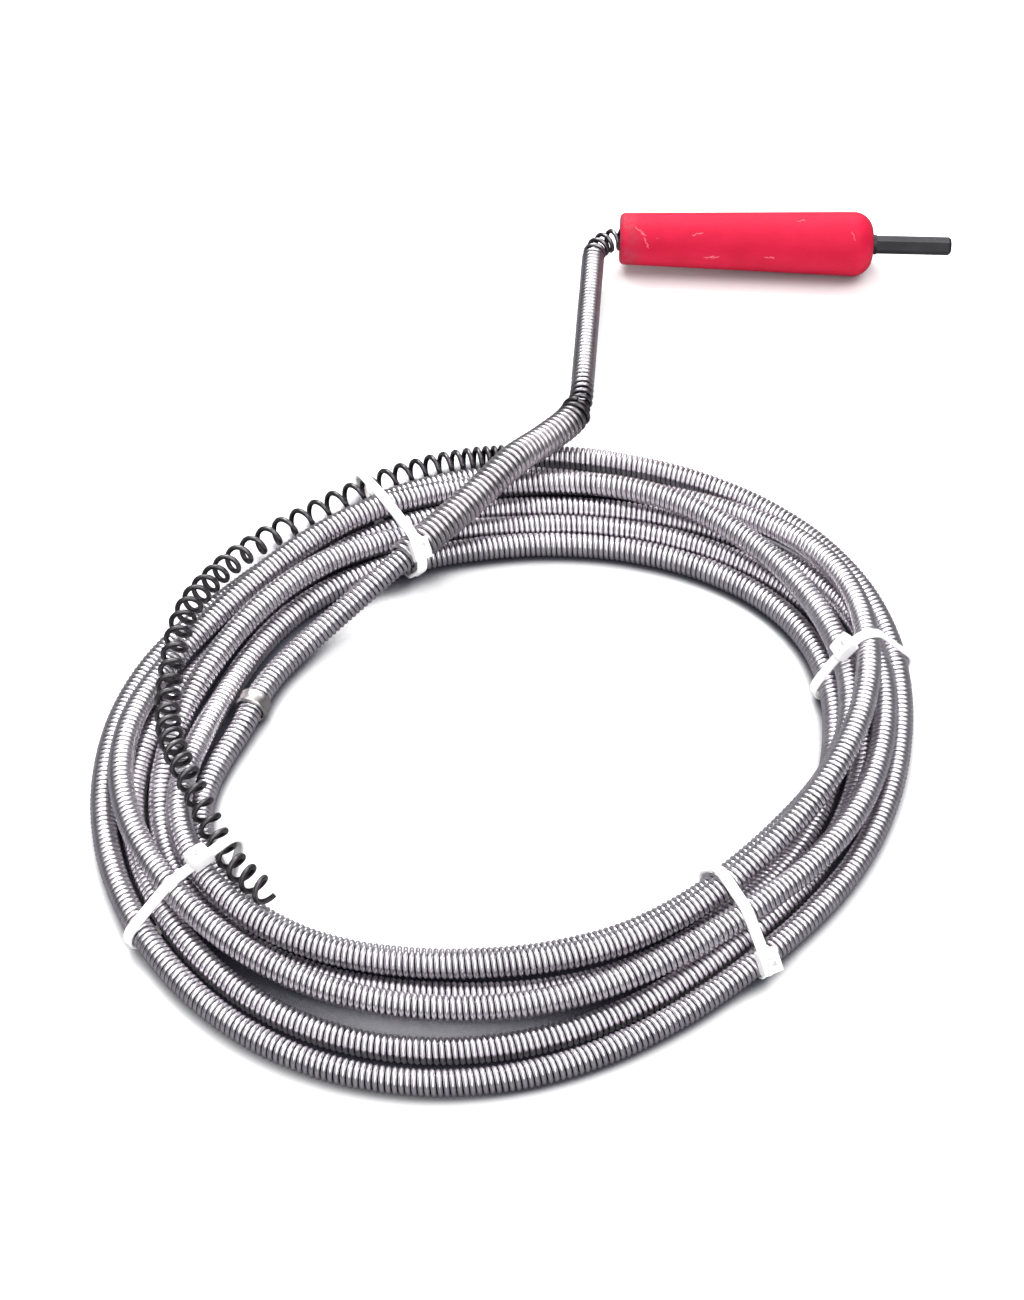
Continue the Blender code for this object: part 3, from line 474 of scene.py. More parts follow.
def arc(x, r, radius, start_deg, stop_deg, steps):
    """Points (x, r) on an arc of a profile, from one angle to another."""
    turns = [math.radians(start_deg + (stop_deg - start_deg) * i / steps)
             for i in range(steps + 1)]
    return [(x + radius * math.cos(turn), r + radius * math.sin(turn)) for turn in turns]


# ---------------------------------------------------------------- shader helpers
class Nodes:
    """The node tree of a material or world; methods return output sockets, add() the node."""

    def __init__(self, owner):
        owner.use_nodes = True
        self.owner = owner
        self.tree = owner.node_tree

    def feed(self, socket, value):
        """Links a socket or sets a value; colours come as (r, g, b)."""
        if isinstance(value, bpy.types.NodeSocket):
            self.tree.links.new(value, socket)
        elif socket.type == "RGBA":
            socket.default_value = (*value, 1)
        else:
            socket.default_value = value

    def add(self, kind, inputs=None, **settings):
        node = self.tree.nodes.new(kind)
        for key, value in settings.items():
            setattr(node, key, value)
        for key, value in (inputs or {}).items():
            self.feed(node.inputs[key], value)
        return node

    def ramp(self, source, stops):
        """Colour ramp; stops are (position, grey or (r, g, b))."""
        node = self.add("ShaderNodeValToRGB", {"Fac": source})
        elements = node.color_ramp.elements
        while len(elements) < len(stops):
            elements.new(0.5)
        for element, (position, colour) in zip(elements, stops):
            element.position = position
            element.color = (*colour, 1) if isinstance(colour, tuple) else (*[colour] * 3, 1)
        return node.outputs[0]

    def mix(self, amount, base, over, blend="MIX"):
        return self.add("ShaderNodeMix", {0: amount, 6: base, 7: over},
                        data_type="RGBA", blend_type=blend).outputs[2]

    def math(self, operation, first, second=None, clamp=False):
        inputs = {0: first} if second is None else {0: first, 1: second}
        return self.add("ShaderNodeMath", inputs, operation=operation, use_clamp=clamp).outputs[0]

    def times(self, first, second, clamp=False):
        return self.math("MULTIPLY", first, second, clamp)

    def minus(self, first, second, clamp=False):
        return self.math("SUBTRACT", first, second, clamp)

    def remap(self, value, to, source=(0.0, 1.0), kind="LINEAR"):
        """Maps the source range onto the range to."""
        inputs = dict(enumerate((value, *source, *to)))
        return self.add("ShaderNodeMapRange", inputs, interpolation_type=kind).outputs[0]

    def noise(self, vector, scale, detail, rough, distortion=0.0):
        inputs = {"Vector": vector, "Scale": scale, "Detail": detail, "Roughness": rough,
                  "Distortion": distortion}
        return self.add("ShaderNodeTexNoise", inputs).outputs["Fac"]

    def object_place(self):
        return self.add("ShaderNodeTexCoord").outputs["Object"]

    def stretched(self, vector, scale, yaw=0.0):
        inputs = {"Vector": vector, "Rotation": (0, 0, yaw), "Scale": scale}
        return self.add("ShaderNodeMapping", inputs).outputs[0]

    def attribute(self, name):
        return self.add("ShaderNodeAttribute", attribute_name=name).outputs["Fac"]

    def bump(self, height, strength, depth_mm):
        inputs = {"Height": height, "Strength": strength, "Distance": depth_mm * MM}
        return self.add("ShaderNodeBump", inputs).outputs[0]

    def surface(self, inputs):
        """Feeds the surface shader and returns the material."""
        shader = self.tree.nodes["Principled BSDF"]
        for key, value in inputs.items():
            self.feed(shader.inputs[key], value)
        return self.owner


def wire_coords(nodes, along, around):
    """Coordinates that stay with the bent wire: scaled length and crest; also the bare crest."""
    run = nodes.attribute("wire_run")
    crest = nodes.attribute("crest")
    inputs = {0: nodes.times(run, along), 1: nodes.times(crest, around)}
    return nodes.add("ShaderNodeCombineXYZ", inputs).outputs[0], crest


# ---------------------------------------------------------------- materials
def wire_steel(name, light, shade, grime_and_shade, shade_crest_range, rough=(0.2, 0.38), metallic=1.0):
    """Drawn spring wire: random tone, streaks and dirt spots.  Painted shade darkens the sides of
    each winding, away from its crest, towards the dark colour over the given crest range; a per-point
    darkening mixes in more of it."""
    nodes = Nodes(bpy.data.materials.new(name))
    patch, crest = wire_coords(nodes, along=0.35, around=2.0)
    slow, _ = wire_coords(nodes, along=0.012, around=0.2)
    fine, _ = wire_coords(nodes, along=0.06, around=9.0)
    tone = nodes.ramp(nodes.noise(slow, scale=1.0, detail=4.0, rough=0.6),
                      [(0.3, shade), (0.7, light)])
    streak = nodes.noise(fine, scale=3.0, detail=5.0, rough=0.7)
    colour = nodes.mix(nodes.times(streak, 0.35), tone, shade)
    spots = nodes.ramp(nodes.noise(patch, scale=1.6, detail=4.0, rough=0.65),
                       [(0.62, 0.0), (0.72, 1.0)])
    colour = nodes.mix(nodes.times(spots, 0.35), colour, grime_and_shade)
    # painted shade: the winding's sides, away from its crest, take on the dark colour
    side_shade = nodes.remap(crest, source=shade_crest_range, to=(1.0, 0.0), kind="SMOOTHSTEP")
    colour = nodes.mix(side_shade, colour, grime_and_shade)
    # per-point darkening towards the dark colour: painted shade along the cable's riser, darker
    # windings at the pivots
    colour = nodes.mix(nodes.times(nodes.attribute("darkening"), 0.9), colour, grime_and_shade)
    sheen = nodes.remap(streak, to=rough)
    return nodes.surface({
        "Base Color": colour,
        "Metallic": metallic,
        "Roughness": nodes.math("ADD", sheen, nodes.times(side_shade, 0.25), clamp=True),
        "Normal": nodes.bump(streak, strength=0.25, depth_mm=0.04),
    })


def machined(name, colour, dark, scale, rough, metallic=1.0, stretch=(1, 1, 1), bump_mm=0.02,
             worn=0.0):
    """Turned metal or moulded plastic: fine grain, slow tone changes and a little wear."""
    nodes = Nodes(bpy.data.materials.new(name))
    here = nodes.object_place()
    grain = nodes.noise(nodes.stretched(here, stretch), scale=scale, detail=5.0, rough=0.65)
    slow = nodes.noise(here, scale=90.0, detail=3.0, rough=0.5)
    tone = nodes.mix(nodes.ramp(slow, [(0.35, 0.0), (0.65, 1.0)]), dark, colour)
    tone = nodes.mix(nodes.times(grain, 0.3), tone, dark)
    if worn:
        wear = nodes.ramp(nodes.noise(here, scale=420.0, detail=6.0, rough=0.75),
                          [(0.6, 0.0), (0.7, 1.0)])
        tone = nodes.mix(nodes.times(wear, worn), tone, (0.35, 0.35, 0.36))
    return nodes.surface({
        "Base Color": tone,
        "Metallic": metallic,
        "Roughness": nodes.remap(grain, to=rough),
        "Normal": nodes.bump(grain, strength=0.35, depth_mm=bump_mm),
    })


def nylon():
    """Moulded white nylon: faint flow marks, a soft sheen, a little dirt."""
    nodes = Nodes(bpy.data.materials.new("tie_nylon"))
    here = nodes.object_place()
    slow = nodes.noise(here, scale=160.0, detail=3.0, rough=0.5)
    fine = nodes.noise(here, scale=1400.0, detail=4.0, rough=0.6)
    white = nodes.ramp(slow, [(0.3, (0.88, 0.88, 0.87)), (0.7, (0.94, 0.94, 0.935))])
    dirt = nodes.ramp(nodes.noise(here, scale=520.0, detail=5.0, rough=0.7),
                      [(0.62, 0.0), (0.75, 1.0)])
    return nodes.surface({
        "Base Color": nodes.mix(nodes.times(dirt, 0.22), white, (0.6, 0.59, 0.56)),
        "Roughness": nodes.remap(fine, to=(0.3, 0.46)),
        "Normal": nodes.bump(slow, strength=0.3, depth_mm=0.04),
    })


# scuffs on the handle's upper front: along it from the cable end, across it, degrees, length, width
SCUFFS = [
    (8.2, 0.6, -38, 6.5, 0.75), (10.6, -3.8, -66, 5.5, 0.6), (31.0, -0.6, 14, 5.0, 0.55),
    (37.0, -9.4, 2, 7.0, 0.7), (60.0, -9.8, -6, 5.0, 0.6), (72.0, 4.6, 20, 4.0, 0.4),
    (93.0, -2.0, -72, 4.5, 0.45),
]
FACING = np.array([0.0, -0.652, 0.758])     # out of the handle's upper front
ACROSS = np.array([0.0, 0.758, 0.652])      # across it, towards the back


def handle_coordinate(nodes, here, axis, start=0.0):
    """Distance in mm along an axis from the upper pivot, less start."""
    origin = (UPPER_PIVOT + FRAME_SHIFT) * MM
    dot = nodes.add("ShaderNodeVectorMath", {0: here, 1: tuple(float(a) for a in axis)},
                    operation="DOT_PRODUCT").outputs["Value"]
    return nodes.minus(nodes.math("DIVIDE", dot, MM), float(origin @ axis) / MM + start)


def scuff_mark(nodes, x, y, z, wave, at_x, at_y, degrees, length, width):
    """One scuff on the handle's upper front, wavering with the noise."""
    waver, end_fade = 2.2, 3.0
    cos, sin = math.cos(math.radians(degrees)), math.sin(math.radians(degrees))
    off_x, off_y = nodes.minus(x, at_x), nodes.minus(y, at_y)
    along = nodes.math("ADD", nodes.times(off_x, cos), nodes.times(off_y, sin))
    aside = nodes.minus(nodes.times(off_y, cos), nodes.times(off_x, sin))
    aside = nodes.math("ADD", aside, nodes.times(nodes.minus(wave, 0.5), waver))

    def fade(offset, half):
        share = nodes.math("DIVIDE", nodes.math("ABSOLUTE", offset), half)
        return nodes.minus(1.0, share, clamp=True)

    ends = fade(along, length / 2)
    sides = fade(aside, width / 2)
    ends = nodes.times(ends, end_fade, clamp=True)
    front = nodes.math("GREATER_THAN", z, 0.0)
    return nodes.times(nodes.times(ends, sides), front)


def crimson():
    """Moulded crimson plastic: faint orange-peel, lengthwise scuffs, greyer at the cable end, and
    painted shade darkening it towards its outline.
    """
    nodes = Nodes(bpy.data.materials.new("handle_red"))
    here = nodes.object_place()
    x = handle_coordinate(nodes, here, handle_axis, HANDLE_START)
    y = handle_coordinate(nodes, here, ACROSS)
    z = handle_coordinate(nodes, here, FACING)
    along = nodes.math("DIVIDE", x, HANDLE_L)
    streak = nodes.noise(nodes.stretched(here, scale=(0.12, 1, 1), yaw=-HANDLE_YAW),
                         scale=1500.0, detail=5.0, rough=0.6)
    blotch = nodes.noise(here, scale=110.0, detail=3.0, rough=0.5)
    peel = nodes.noise(here, scale=1100.0, detail=2.0, rough=0.5)
    colour = nodes.ramp(blotch, [(0.3, (0.49, 0.005, 0.033)), (0.7, (0.57, 0.008, 0.045))])
    colour = nodes.mix(nodes.times(streak, 0.18), colour, (0.32, 0.003, 0.018))
    # greyed by handling at the cable end
    cable_end = nodes.ramp(along, [(0.0, 1.0), (0.10, 0.0)])
    smear = nodes.ramp(nodes.noise(here, scale=260.0, detail=5.0, rough=0.7),
                       [(0.35, 0.0), (0.65, 1.0)])
    colour = nodes.mix(nodes.times(nodes.times(cable_end, smear), 0.5), colour, (0.20, 0.09, 0.12))
    # small nicks, gathered in bands along the handle, and the longer scuffs
    nick = nodes.noise(nodes.stretched(here, scale=(0.22, 1, 1), yaw=-HANDLE_YAW),
                       scale=420.0, detail=6.0, rough=0.75, distortion=0.4)
    nick = nodes.ramp(nick, [(0.66, 0.0), (0.69, 1.0)])
    band = nodes.ramp(along, [(0.06, 0.15), (0.12, 1.0), (0.2, 0.2), (0.7, 0.12), (0.86, 0.6),
                              (1.0, 0.4)])
    scuff = nodes.times(nick, band)
    wave = nodes.noise(here, scale=700.0, detail=3.0, rough=0.6)
    mark_strength = 1.0
    for row in SCUFFS:
        mark = nodes.times(scuff_mark(nodes, x, y, z, wave, *row), mark_strength)
        scuff = nodes.math("MAXIMUM", scuff, mark)
    colour = nodes.mix(nodes.times(scuff, 0.42), colour, (0.88, 0.36, 0.40))
    # painted shade: the colour darkens towards the handle's outline, where the surface turns away
    facing = nodes.add("ShaderNodeLayerWeight", {"Blend": 0.45}).outputs["Facing"]
    edge_shade = nodes.math("POWER", facing, 3.0)
    colour = nodes.mix(nodes.times(edge_shade, 0.85, clamp=True), colour, (0.26, 0.002, 0.02))
    sheen = nodes.remap(streak, to=(0.48, 0.62))
    sheen = nodes.math("ADD", sheen, nodes.times(scuff, 0.3), clamp=True)
    height = nodes.math("ADD", peel, nodes.times(scuff, -0.6))
    return nodes.surface({
        "Base Color": colour,
        "Roughness": sheen,
        "Specular IOR Level": 0.14,
        "Normal": nodes.bump(height, strength=0.25, depth_mm=0.06),
    })


# ---------------------------------------------------------------- the run of the cable
def unit(vector):
    return vector / np.linalg.norm(vector)


points, outer = first_layout()
points = settle(points, outer)
head_first = next(i for i in range(len(outer)) if i > EARLY_POINTS and outer[i] == HEAD_R)
riser_axis = unit(UPPER_PIVOT - LOWER_PIVOT)
handle_axis = np.array([math.cos(HANDLE_YAW), math.sin(HANDLE_YAW), 0.0])


def cable_line():
    """The whole centreline, from inside the handle to the tip of the boring head."""
    in_handle = 10.0         # straight run past the bend
    low_bend = 15            # from the lower pivot, where the riser starts to bend down its lead
    pull = BEND_R - 0.5523 * BEND_R      # control points of a quarter circle
    bend_start = UPPER_PIVOT + handle_axis * BEND_R
    bend_stop = UPPER_PIVOT - riser_axis * BEND_R
    riser_stop = LOWER_PIVOT + riser_axis * low_bend
    aim = unit(points[2] - points[0])
    return join(
        np.array([UPPER_PIVOT + handle_axis * (BEND_R + in_handle * (1 - k / 30))
                  for k in range(31)]),
        bezier(bend_start, UPPER_PIVOT + handle_axis * pull, UPPER_PIVOT - riser_axis * pull,
               bend_stop),
        np.array([bend_stop + (riser_stop - bend_stop) * k / 120 for k in range(121)]),
        bezier(riser_stop, LOWER_PIVOT + riser_axis * 4.0, points[1] - aim * 11.0, points[1]),
        smooth(points)[SMOOTH_STEPS:],
    )


# lengths along the path, counted from inside the handle
path = Path(cable_line())
S_TOP = path.near(UPPER_PIVOT[0] + 3.6, UPPER_PIVOT[1] - 3.6, 0, 60)
S_LOW = path.near(*LOWER_PIVOT[:2], 60, 220)
S_MID = path.near(*(LOWER_PIVOT + riser_axis * 56)[:2], 60, 220)
S_FACE = path.near(*(UPPER_PIVOT + handle_axis * HANDLE_START)[:2], 0, 40)
S_LEAD = S_LOW + 27.0
S_GUARD_START = S_LOW - 3.0
S_GUARD_END = path.near(*GUARD_TO, S_LOW, S_LOW + 200)
S_FERRULE = path.near(*FERRULE_AT, S_LOW, S_LOW + 300)
S_HEAD = path.nearest(points[head_first - 1]
                      + unit(points[head_first] - points[head_first - 1]) * 1.2)
S_CABLE_END = S_HEAD + 0.6


def hill(run, at, width):
    return np.exp(-((run - at) / width) ** 2)


def turns_table(start, stop, pitch, step=0.2):
    """Lengths along the path, and the turns wound up to each."""
    grid = np.linspace(start, stop, int((stop - start) / step))
    turns = np.cumsum(np.diff(grid) / pitch((grid[1:] + grid[:-1]) / 2))
    return grid, np.concatenate([[0.0], turns])


def wind(name, start, stop, table, radius, wire, material, per_turn, sides, grow=None, darkening=None):
    """Wire wound round the path between two lengths, on a turns table shared with neighbours.

    grow(run, turns) widens the winding and stain(run) darkens it.
    """
    grid, turn = table
    first = math.ceil(np.interp(start, grid, turn) * per_turn)
    last = math.ceil(np.interp(stop, grid, turn) * per_turn)
    if stop >= grid[-1]:
        last = math.floor(turn[-1] * per_turn)
    turns = np.arange(first, last + 1) / per_turn
    turns = turns[turns <= turn[-1]]
    run = np.interp(turns, turn, grid)
    angle = 2 * math.pi * turns
    place, _, normal, side = path.at(run)
    reach = np.full(len(run), radius - wire)
    if grow is not None:
        reach = reach + grow(run, turns)
    radial = np.cos(angle)[:, None] * normal + np.sin(angle)[:, None] * side
    centre = place + reach[:, None] * radial
    heading = np.gradient(centre, axis=0)
    heading /= np.linalg.norm(heading, axis=1)[:, None]
    outward = radial - (radial * heading).sum(1)[:, None] * heading
    outward /= np.linalg.norm(outward, axis=1)[:, None]
    sideways = np.cross(heading, outward)
    corner = np.arange(sides) * 2 * math.pi / sides
    rings = centre[:, None] + wire * (np.cos(corner)[None, :, None] * outward[:, None]
                                      + np.sin(corner)[None, :, None] * sideways[:, None])
    count = len(centre)
    steps = np.linalg.norm(np.diff(centre, axis=0), axis=1)
    wire_run = np.concatenate([[0.0], np.cumsum(steps)])
    dark = np.zeros(count) if darkening is None else darkening(run)
    return tube(name, rings, material, {
        "crest": np.broadcast_to(np.cos(corner), (count, sides)).ravel(),
        "wire_run": np.repeat(wire_run + start, sides),
        "darkening": np.repeat(dark, sides),
    })


def shade_tube(name, start, stop, radius, material, step=1.2, sides=10):
    """A dark tube inside the windings: painted shade seen between them."""
    run = np.linspace(start, stop, max(3, int((stop - start) / step)))
    place, _, normal, side = path.at(run)
    angle = np.arange(sides) * 2 * math.pi / sides
    rings = place[:, None] + radius * (np.cos(angle)[None, :, None] * normal[:, None]
                                       + np.sin(angle)[None, :, None] * side[:, None])
    return tube(name, rings, material)


# ---------------------------------------------------------------- finishes
cable_mat = wire_steel("cable_steel", light=(0.86, 0.83, 0.86), shade=(0.62, 0.59, 0.63),
                       grime_and_shade=(0.035, 0.03, 0.04), shade_crest_range=(-0.3, 0.65))
guard_mat = wire_steel("guard_steel", light=(0.80, 0.77, 0.79), shade=(0.55, 0.52, 0.54),
                       grime_and_shade=(0.03, 0.027, 0.03), shade_crest_range=(-0.6, 0.45), rough=(0.24, 0.42))
head_mat = wire_steel("head_steel", light=(0.17, 0.16, 0.17), shade=(0.045, 0.042, 0.047),
                      grime_and_shade=(0.012, 0.011, 0.013), shade_crest_range=(-1.2, 0.1), rough=(0.22, 0.42),
                      metallic=0.9)
# painted shade: the near-black tube inside the coil's windings
shade_core_mat = machined("core_painted_shade", colour=(0.03, 0.028, 0.03), dark=(0.012, 0.011, 0.012),
                    scale=1500.0, rough=(0.5, 0.7), metallic=0.6)
ferrule_mat = machined("ferrule_steel", colour=(0.74, 0.71, 0.70), dark=(0.42, 0.39, 0.38),
                       scale=1300.0, rough=(0.22, 0.4), bump_mm=0.03)
bush_mat = machined("bush_nylon", colour=(0.055, 0.055, 0.06), dark=(0.03, 0.03, 0.033),
                    scale=700.0, rough=(0.42, 0.6), metallic=0.0)
barrel_mat = machined("barrel_steel", colour=(0.58, 0.58, 0.60), dark=(0.40, 0.40, 0.41),
                      scale=500.0, rough=(0.25, 0.42), stretch=(6, 0.2, 0.2))
screw_mat = machined("screw_steel", colour=(0.16, 0.16, 0.17), dark=(0.08, 0.08, 0.085),
                     scale=900.0, rough=(0.35, 0.5))
washer_mat = machined("washer_steel", colour=(0.72, 0.72, 0.73), dark=(0.52, 0.52, 0.53),
                      scale=900.0, rough=(0.2, 0.35))
shank_mat = machined("shank_black", colour=(0.022, 0.022, 0.025), dark=(0.010, 0.010, 0.012),
                     scale=800.0, rough=(0.36, 0.52), metallic=0.35, stretch=(0.3, 2, 2),
                     worn=0.12)
tie_mat = nylon()
red_mat = crimson()


# ---------------------------------------------------------------- cable windings
def cable_pitch(run):
    """Wider in bends, loose near both pivots and at the handle's face, never quite even."""
    curvature = np.interp(run, path.run, path.curvature)
    base = CABLE_PITCH / np.clip(1 - 3.6 * curvature, 0.5, 1)
    loose = (1 + 0.75 * hill(run, S_LOW - 8, 11) + 0.42 * hill(run, S_TOP, 9)
             + 0.35 * hill(run, S_FACE + 1, 4))
    return base * loose * (1 + 0.015 * np.sin(run * 0.37) + 0.012 * np.sin(run * 0.083 + 1.7))


def cable_grow(run, turns):
    """A slight waver, drawn in at the head and swollen near both pivots."""
    return (0.02 * np.sin(turns * 2.399) + 0.03 * np.sin(run * 0.21) - 0.03 * hill(run, S_HEAD, 3)
            + 0.3 * hill(run, S_TOP, 7) + 0.25 * hill(run, S_LOW - 6, 8))


def cable_darkening(run):
    """Dark at both pivots, and a little all along the riser as painted shade that dims its bright
    band.
    """
    riser = np.clip((run - S_TOP) / 6, 0, 1) * np.clip((S_LOW - run) / 6, 0, 1)
    dark = 0.85 * hill(run, S_LOW - 2, 9) + 0.9 * hill(run, S_TOP - 2, 10) + 0.3 * riser
    return np.clip(dark, 0, 1)


cable_wire = dict(table=turns_table(0.0, S_CABLE_END, cable_pitch), radius=CABLE_R,
                  wire=CABLE_WIRE, material=cable_mat, grow=cable_grow, darkening=cable_darkening)
neck = wind("cable_neck_windings", 0.0, S_MID, per_turn=16, sides=8, **cable_wire)
riser = wind("cable_riser_windings", S_MID, S_LEAD, per_turn=16, sides=8, **cable_wire)
coil = wind("cable_coil_windings", S_LEAD, S_CABLE_END, per_turn=12, sides=6, **cable_wire)
coil_shade_core = shade_tube("cable_coil_shade_core", S_LEAD, S_CABLE_END - 0.8, SHADE_CORE_R, shade_core_mat)


# ---------------------------------------------------------------- guard spring over the lead
def guard_pitch(run):
    """The first windings are spread where the free end leaves the coil."""
    spread = 1 + 0.75 * hill(run, S_GUARD_START, 5.5) + 0.25 * hill(run, S_GUARD_END, 2)
    return 2.28 * spread * (1 + 0.02 * np.sin(run * 0.5))


def guard_darkening(run):
    # darker where the free end leaves the coil, and a little all along the guard
    return np.clip(0.9 * hill(run, S_GUARD_START, 9) + 0.25, 0, 1)


guard = wind("guard_spring_windings", S_GUARD_START, S_GUARD_END,
             turns_table(S_GUARD_START, S_GUARD_END, guard_pitch), GUARD_R, GUARD_WIRE, guard_mat,
             per_turn=20, sides=8, darkening=guard_darkening)

# ---------------------------------------------------------------- boring head
# windings that open out from the cable: length from the head's start, and the pitch there
OPEN_AT = (0.0, 8.0, 20.0, 35.0, 60.0, 110.0, 150.0, 190.0, 240.0, 300.0)
OPEN_TO = (2.2, 3.2, 4.5, 6.0, 7.6, 8.0, 7.6, 7.0, 6.4, 6.0)


def head_pitch(run):
    return np.interp(run - S_HEAD, OPEN_AT, OPEN_TO)


def head_grow(run, turns):
    return 0.05 * np.sin(turns * 1.9) - 0.2 * hill(run, S_HEAD, 5)


head = wind("boring_head_windings", S_HEAD, path.length,
            turns_table(S_HEAD, path.length, head_pitch), HEAD_R, HEAD_WIRE, head_mat,
            per_turn=24, sides=8, grow=head_grow)


# ---------------------------------------------------------------- crimped ferrule
def build_ferrule():
    """A short ring with rounded ends and a slight waist."""
    half, bore, edge = 3.0, 4.95, 0.9
    waist = [(-1.3, 5.7), (-0.7, 5.62), (0.0, 5.6), (0.7, 5.62), (1.3, 5.7)]
    profile = (arc(edge - half, bore, edge, 180, 90, steps=6) + waist
               + arc(half - edge, bore, edge, 90, 0, steps=6))
    place, tangent, _, _ = path.at(np.array([S_FERRULE]))
    return lathe_on("joint_ferrule_crimped", place[0], tangent[0], profile, ferrule_mat,
                    sides=48, smooth_deg=35)


ferrule = build_ferrule()


# ---------------------------------------------------------------- cable ties
def tie_directions(inner, outer_end):
    """Unit vectors in plan along a tie, outwards, and square to it."""
    along = Vector((outer_end[0] - inner[0], outer_end[1] - inner[1]))
    along.normalize()
    return along, Vector((-along.y, along.x))


def crossings(inner, along, side, shift):
    """Where the cable crosses a tie's plane moved sideways by shift: (u, z, radius, slant)."""
    found = []
    for i in range(len(points) - 1):
        start, stop = points[i], points[i + 1]
        off_start = (start[0] - inner[0]) * side.x + (start[1] - inner[1]) * side.y - shift
        off_stop = (stop[0] - inner[0]) * side.x + (stop[1] - inner[1]) * side.y - shift
        if (off_start < 0) == (off_stop < 0):
            continue
        hit = start + (stop - start) * (off_start / (off_start - off_stop))
        reach = (hit[0] - inner[0]) * along.x + (hit[1] - inner[1]) * along.y
        if -60 < reach < 110 and hit[0] * along.x + hit[1] * along.y > 0:
            run = unit(stop - start)
            lean = max(abs(run[0] * side.x + run[1] * side.y), 0.6)
            slant = ((run[0] * along.x + run[1] * along.y) / lean, run[2] / lean)
            found.append((reach, hit[2], max(outer[i], outer[i + 1]), slant))
    return found


def tie_loop(inner, along, side, lock_side, clear=0.15, steps=176):
    """The strap's inner outline round the bundle, from its block: (u, z, outward direction)."""
    found = []
    for shift in (-STRAP_W / 2, 0.0, STRAP_W / 2):
        found += crossings(inner, along, side, shift)
    loop = []
    for k in range(steps):
        turn = 2 * math.pi * k / steps
        out = (math.cos(turn), math.sin(turn))
        best = None
        for reach, height, radius, slant in found:
            skew = slant[0] * out[0] + slant[1] * out[1]
            width = (radius + clear) / math.sqrt(1 + skew * skew)
            x = reach + width * (out[0] + slant[0] * skew)
            z = height + width * (out[1] + slant[1] * skew)
            far = x * out[0] + z * out[1]
            if best is None or far > best[0]:
                best = (far, x, z)
        loop.append((best[1], max(best[2], STRAP_T + 0.02), out))
    want = (lock_side * math.cos(BLOCK_LEAN), math.sin(BLOCK_LEAN))
    at = max(range(steps), key=lambda k: loop[k][2][0] * want[0] + loop[k][2][1] * want[1])
    return loop[at:] + loop[:at]


def eased_outline(name, loop):
    """The outline at even steps with its corners eased: u, z and outward direction (u, z)."""
    ring = loop + loop[:1]
    outline = np.array([row[:2] for row in ring])
    outward = np.array([row[2] for row in ring])
    run = np.concatenate([[0], np.cumsum(np.hypot(*np.diff(outline, axis=0).T))])
    count = int(run[-1] / 0.9)
    even = np.arange(count) * run[-1] / count
    x = np.interp(even, run, outline[:, 0])
    z = np.interp(even, run, outline[:, 1])
    hint_x = np.interp(even, run, outward[:, 0])
    hint_z = np.interp(even, run, outward[:, 1])
    for _ in range(3):
        x = x + 0.25 * (np.roll(x, 1) - 2 * x + np.roll(x, -1)) + hint_x * 0.02
        z = z + 0.25 * (np.roll(z, 1) - 2 * z + np.roll(z, -1)) + hint_z * 0.02
    z = np.maximum(z, STRAP_T + 0.02)
    run_x, run_z = np.roll(x, -1) - np.roll(x, 1), np.roll(z, -1) - np.roll(z, 1)
    length = np.hypot(run_x, run_z)
    out_x, out_z = run_z / length, -run_x / length
    flip = np.sign((out_x * hint_x + out_z * hint_z).sum())
    rows = (x, z, out_x * flip, out_z * flip)
    if name in BLOCK_AT:
        off = np.abs(x - BLOCK_AT[name]) + np.where(rows[3] > 0.3, 0, 1e3)
        rows = [np.roll(row, -int(np.argmin(off))) for row in rows]
    return rows


def tie_strap(name, stations, side):
    """The band, with raised edges; stations are (place, outward) round the loop."""
    half, chamfer, groove = STRAP_W / 2, 0.35, 0.18
    profile = [(chamfer - half, 0), (half - chamfer, 0), (half, chamfer),
               (half, STRAP_T - chamfer), (half - chamfer, STRAP_T), (half - 0.9, STRAP_T),
               (half - 1.0, STRAP_T - groove), (1.0 - half, STRAP_T - groove),
               (0.9 - half, STRAP_T), (chamfer - half, STRAP_T), (-half, STRAP_T - chamfer),
               (-half, chamfer)]
    build = bmesh.new()
    rings = [[build.verts.new(place + side * u + out * v) for u, v in profile]
             for place, out in stations]
    for k, ring in enumerate(rings):
        bridge(build, ring, rings[(k + 1) % len(rings)])
    return from_bmesh(name + "_strap", build, tie_mat, smooth_deg=40)


LOCK_LIFT = 0.25         # of the block above the strap's inner outline


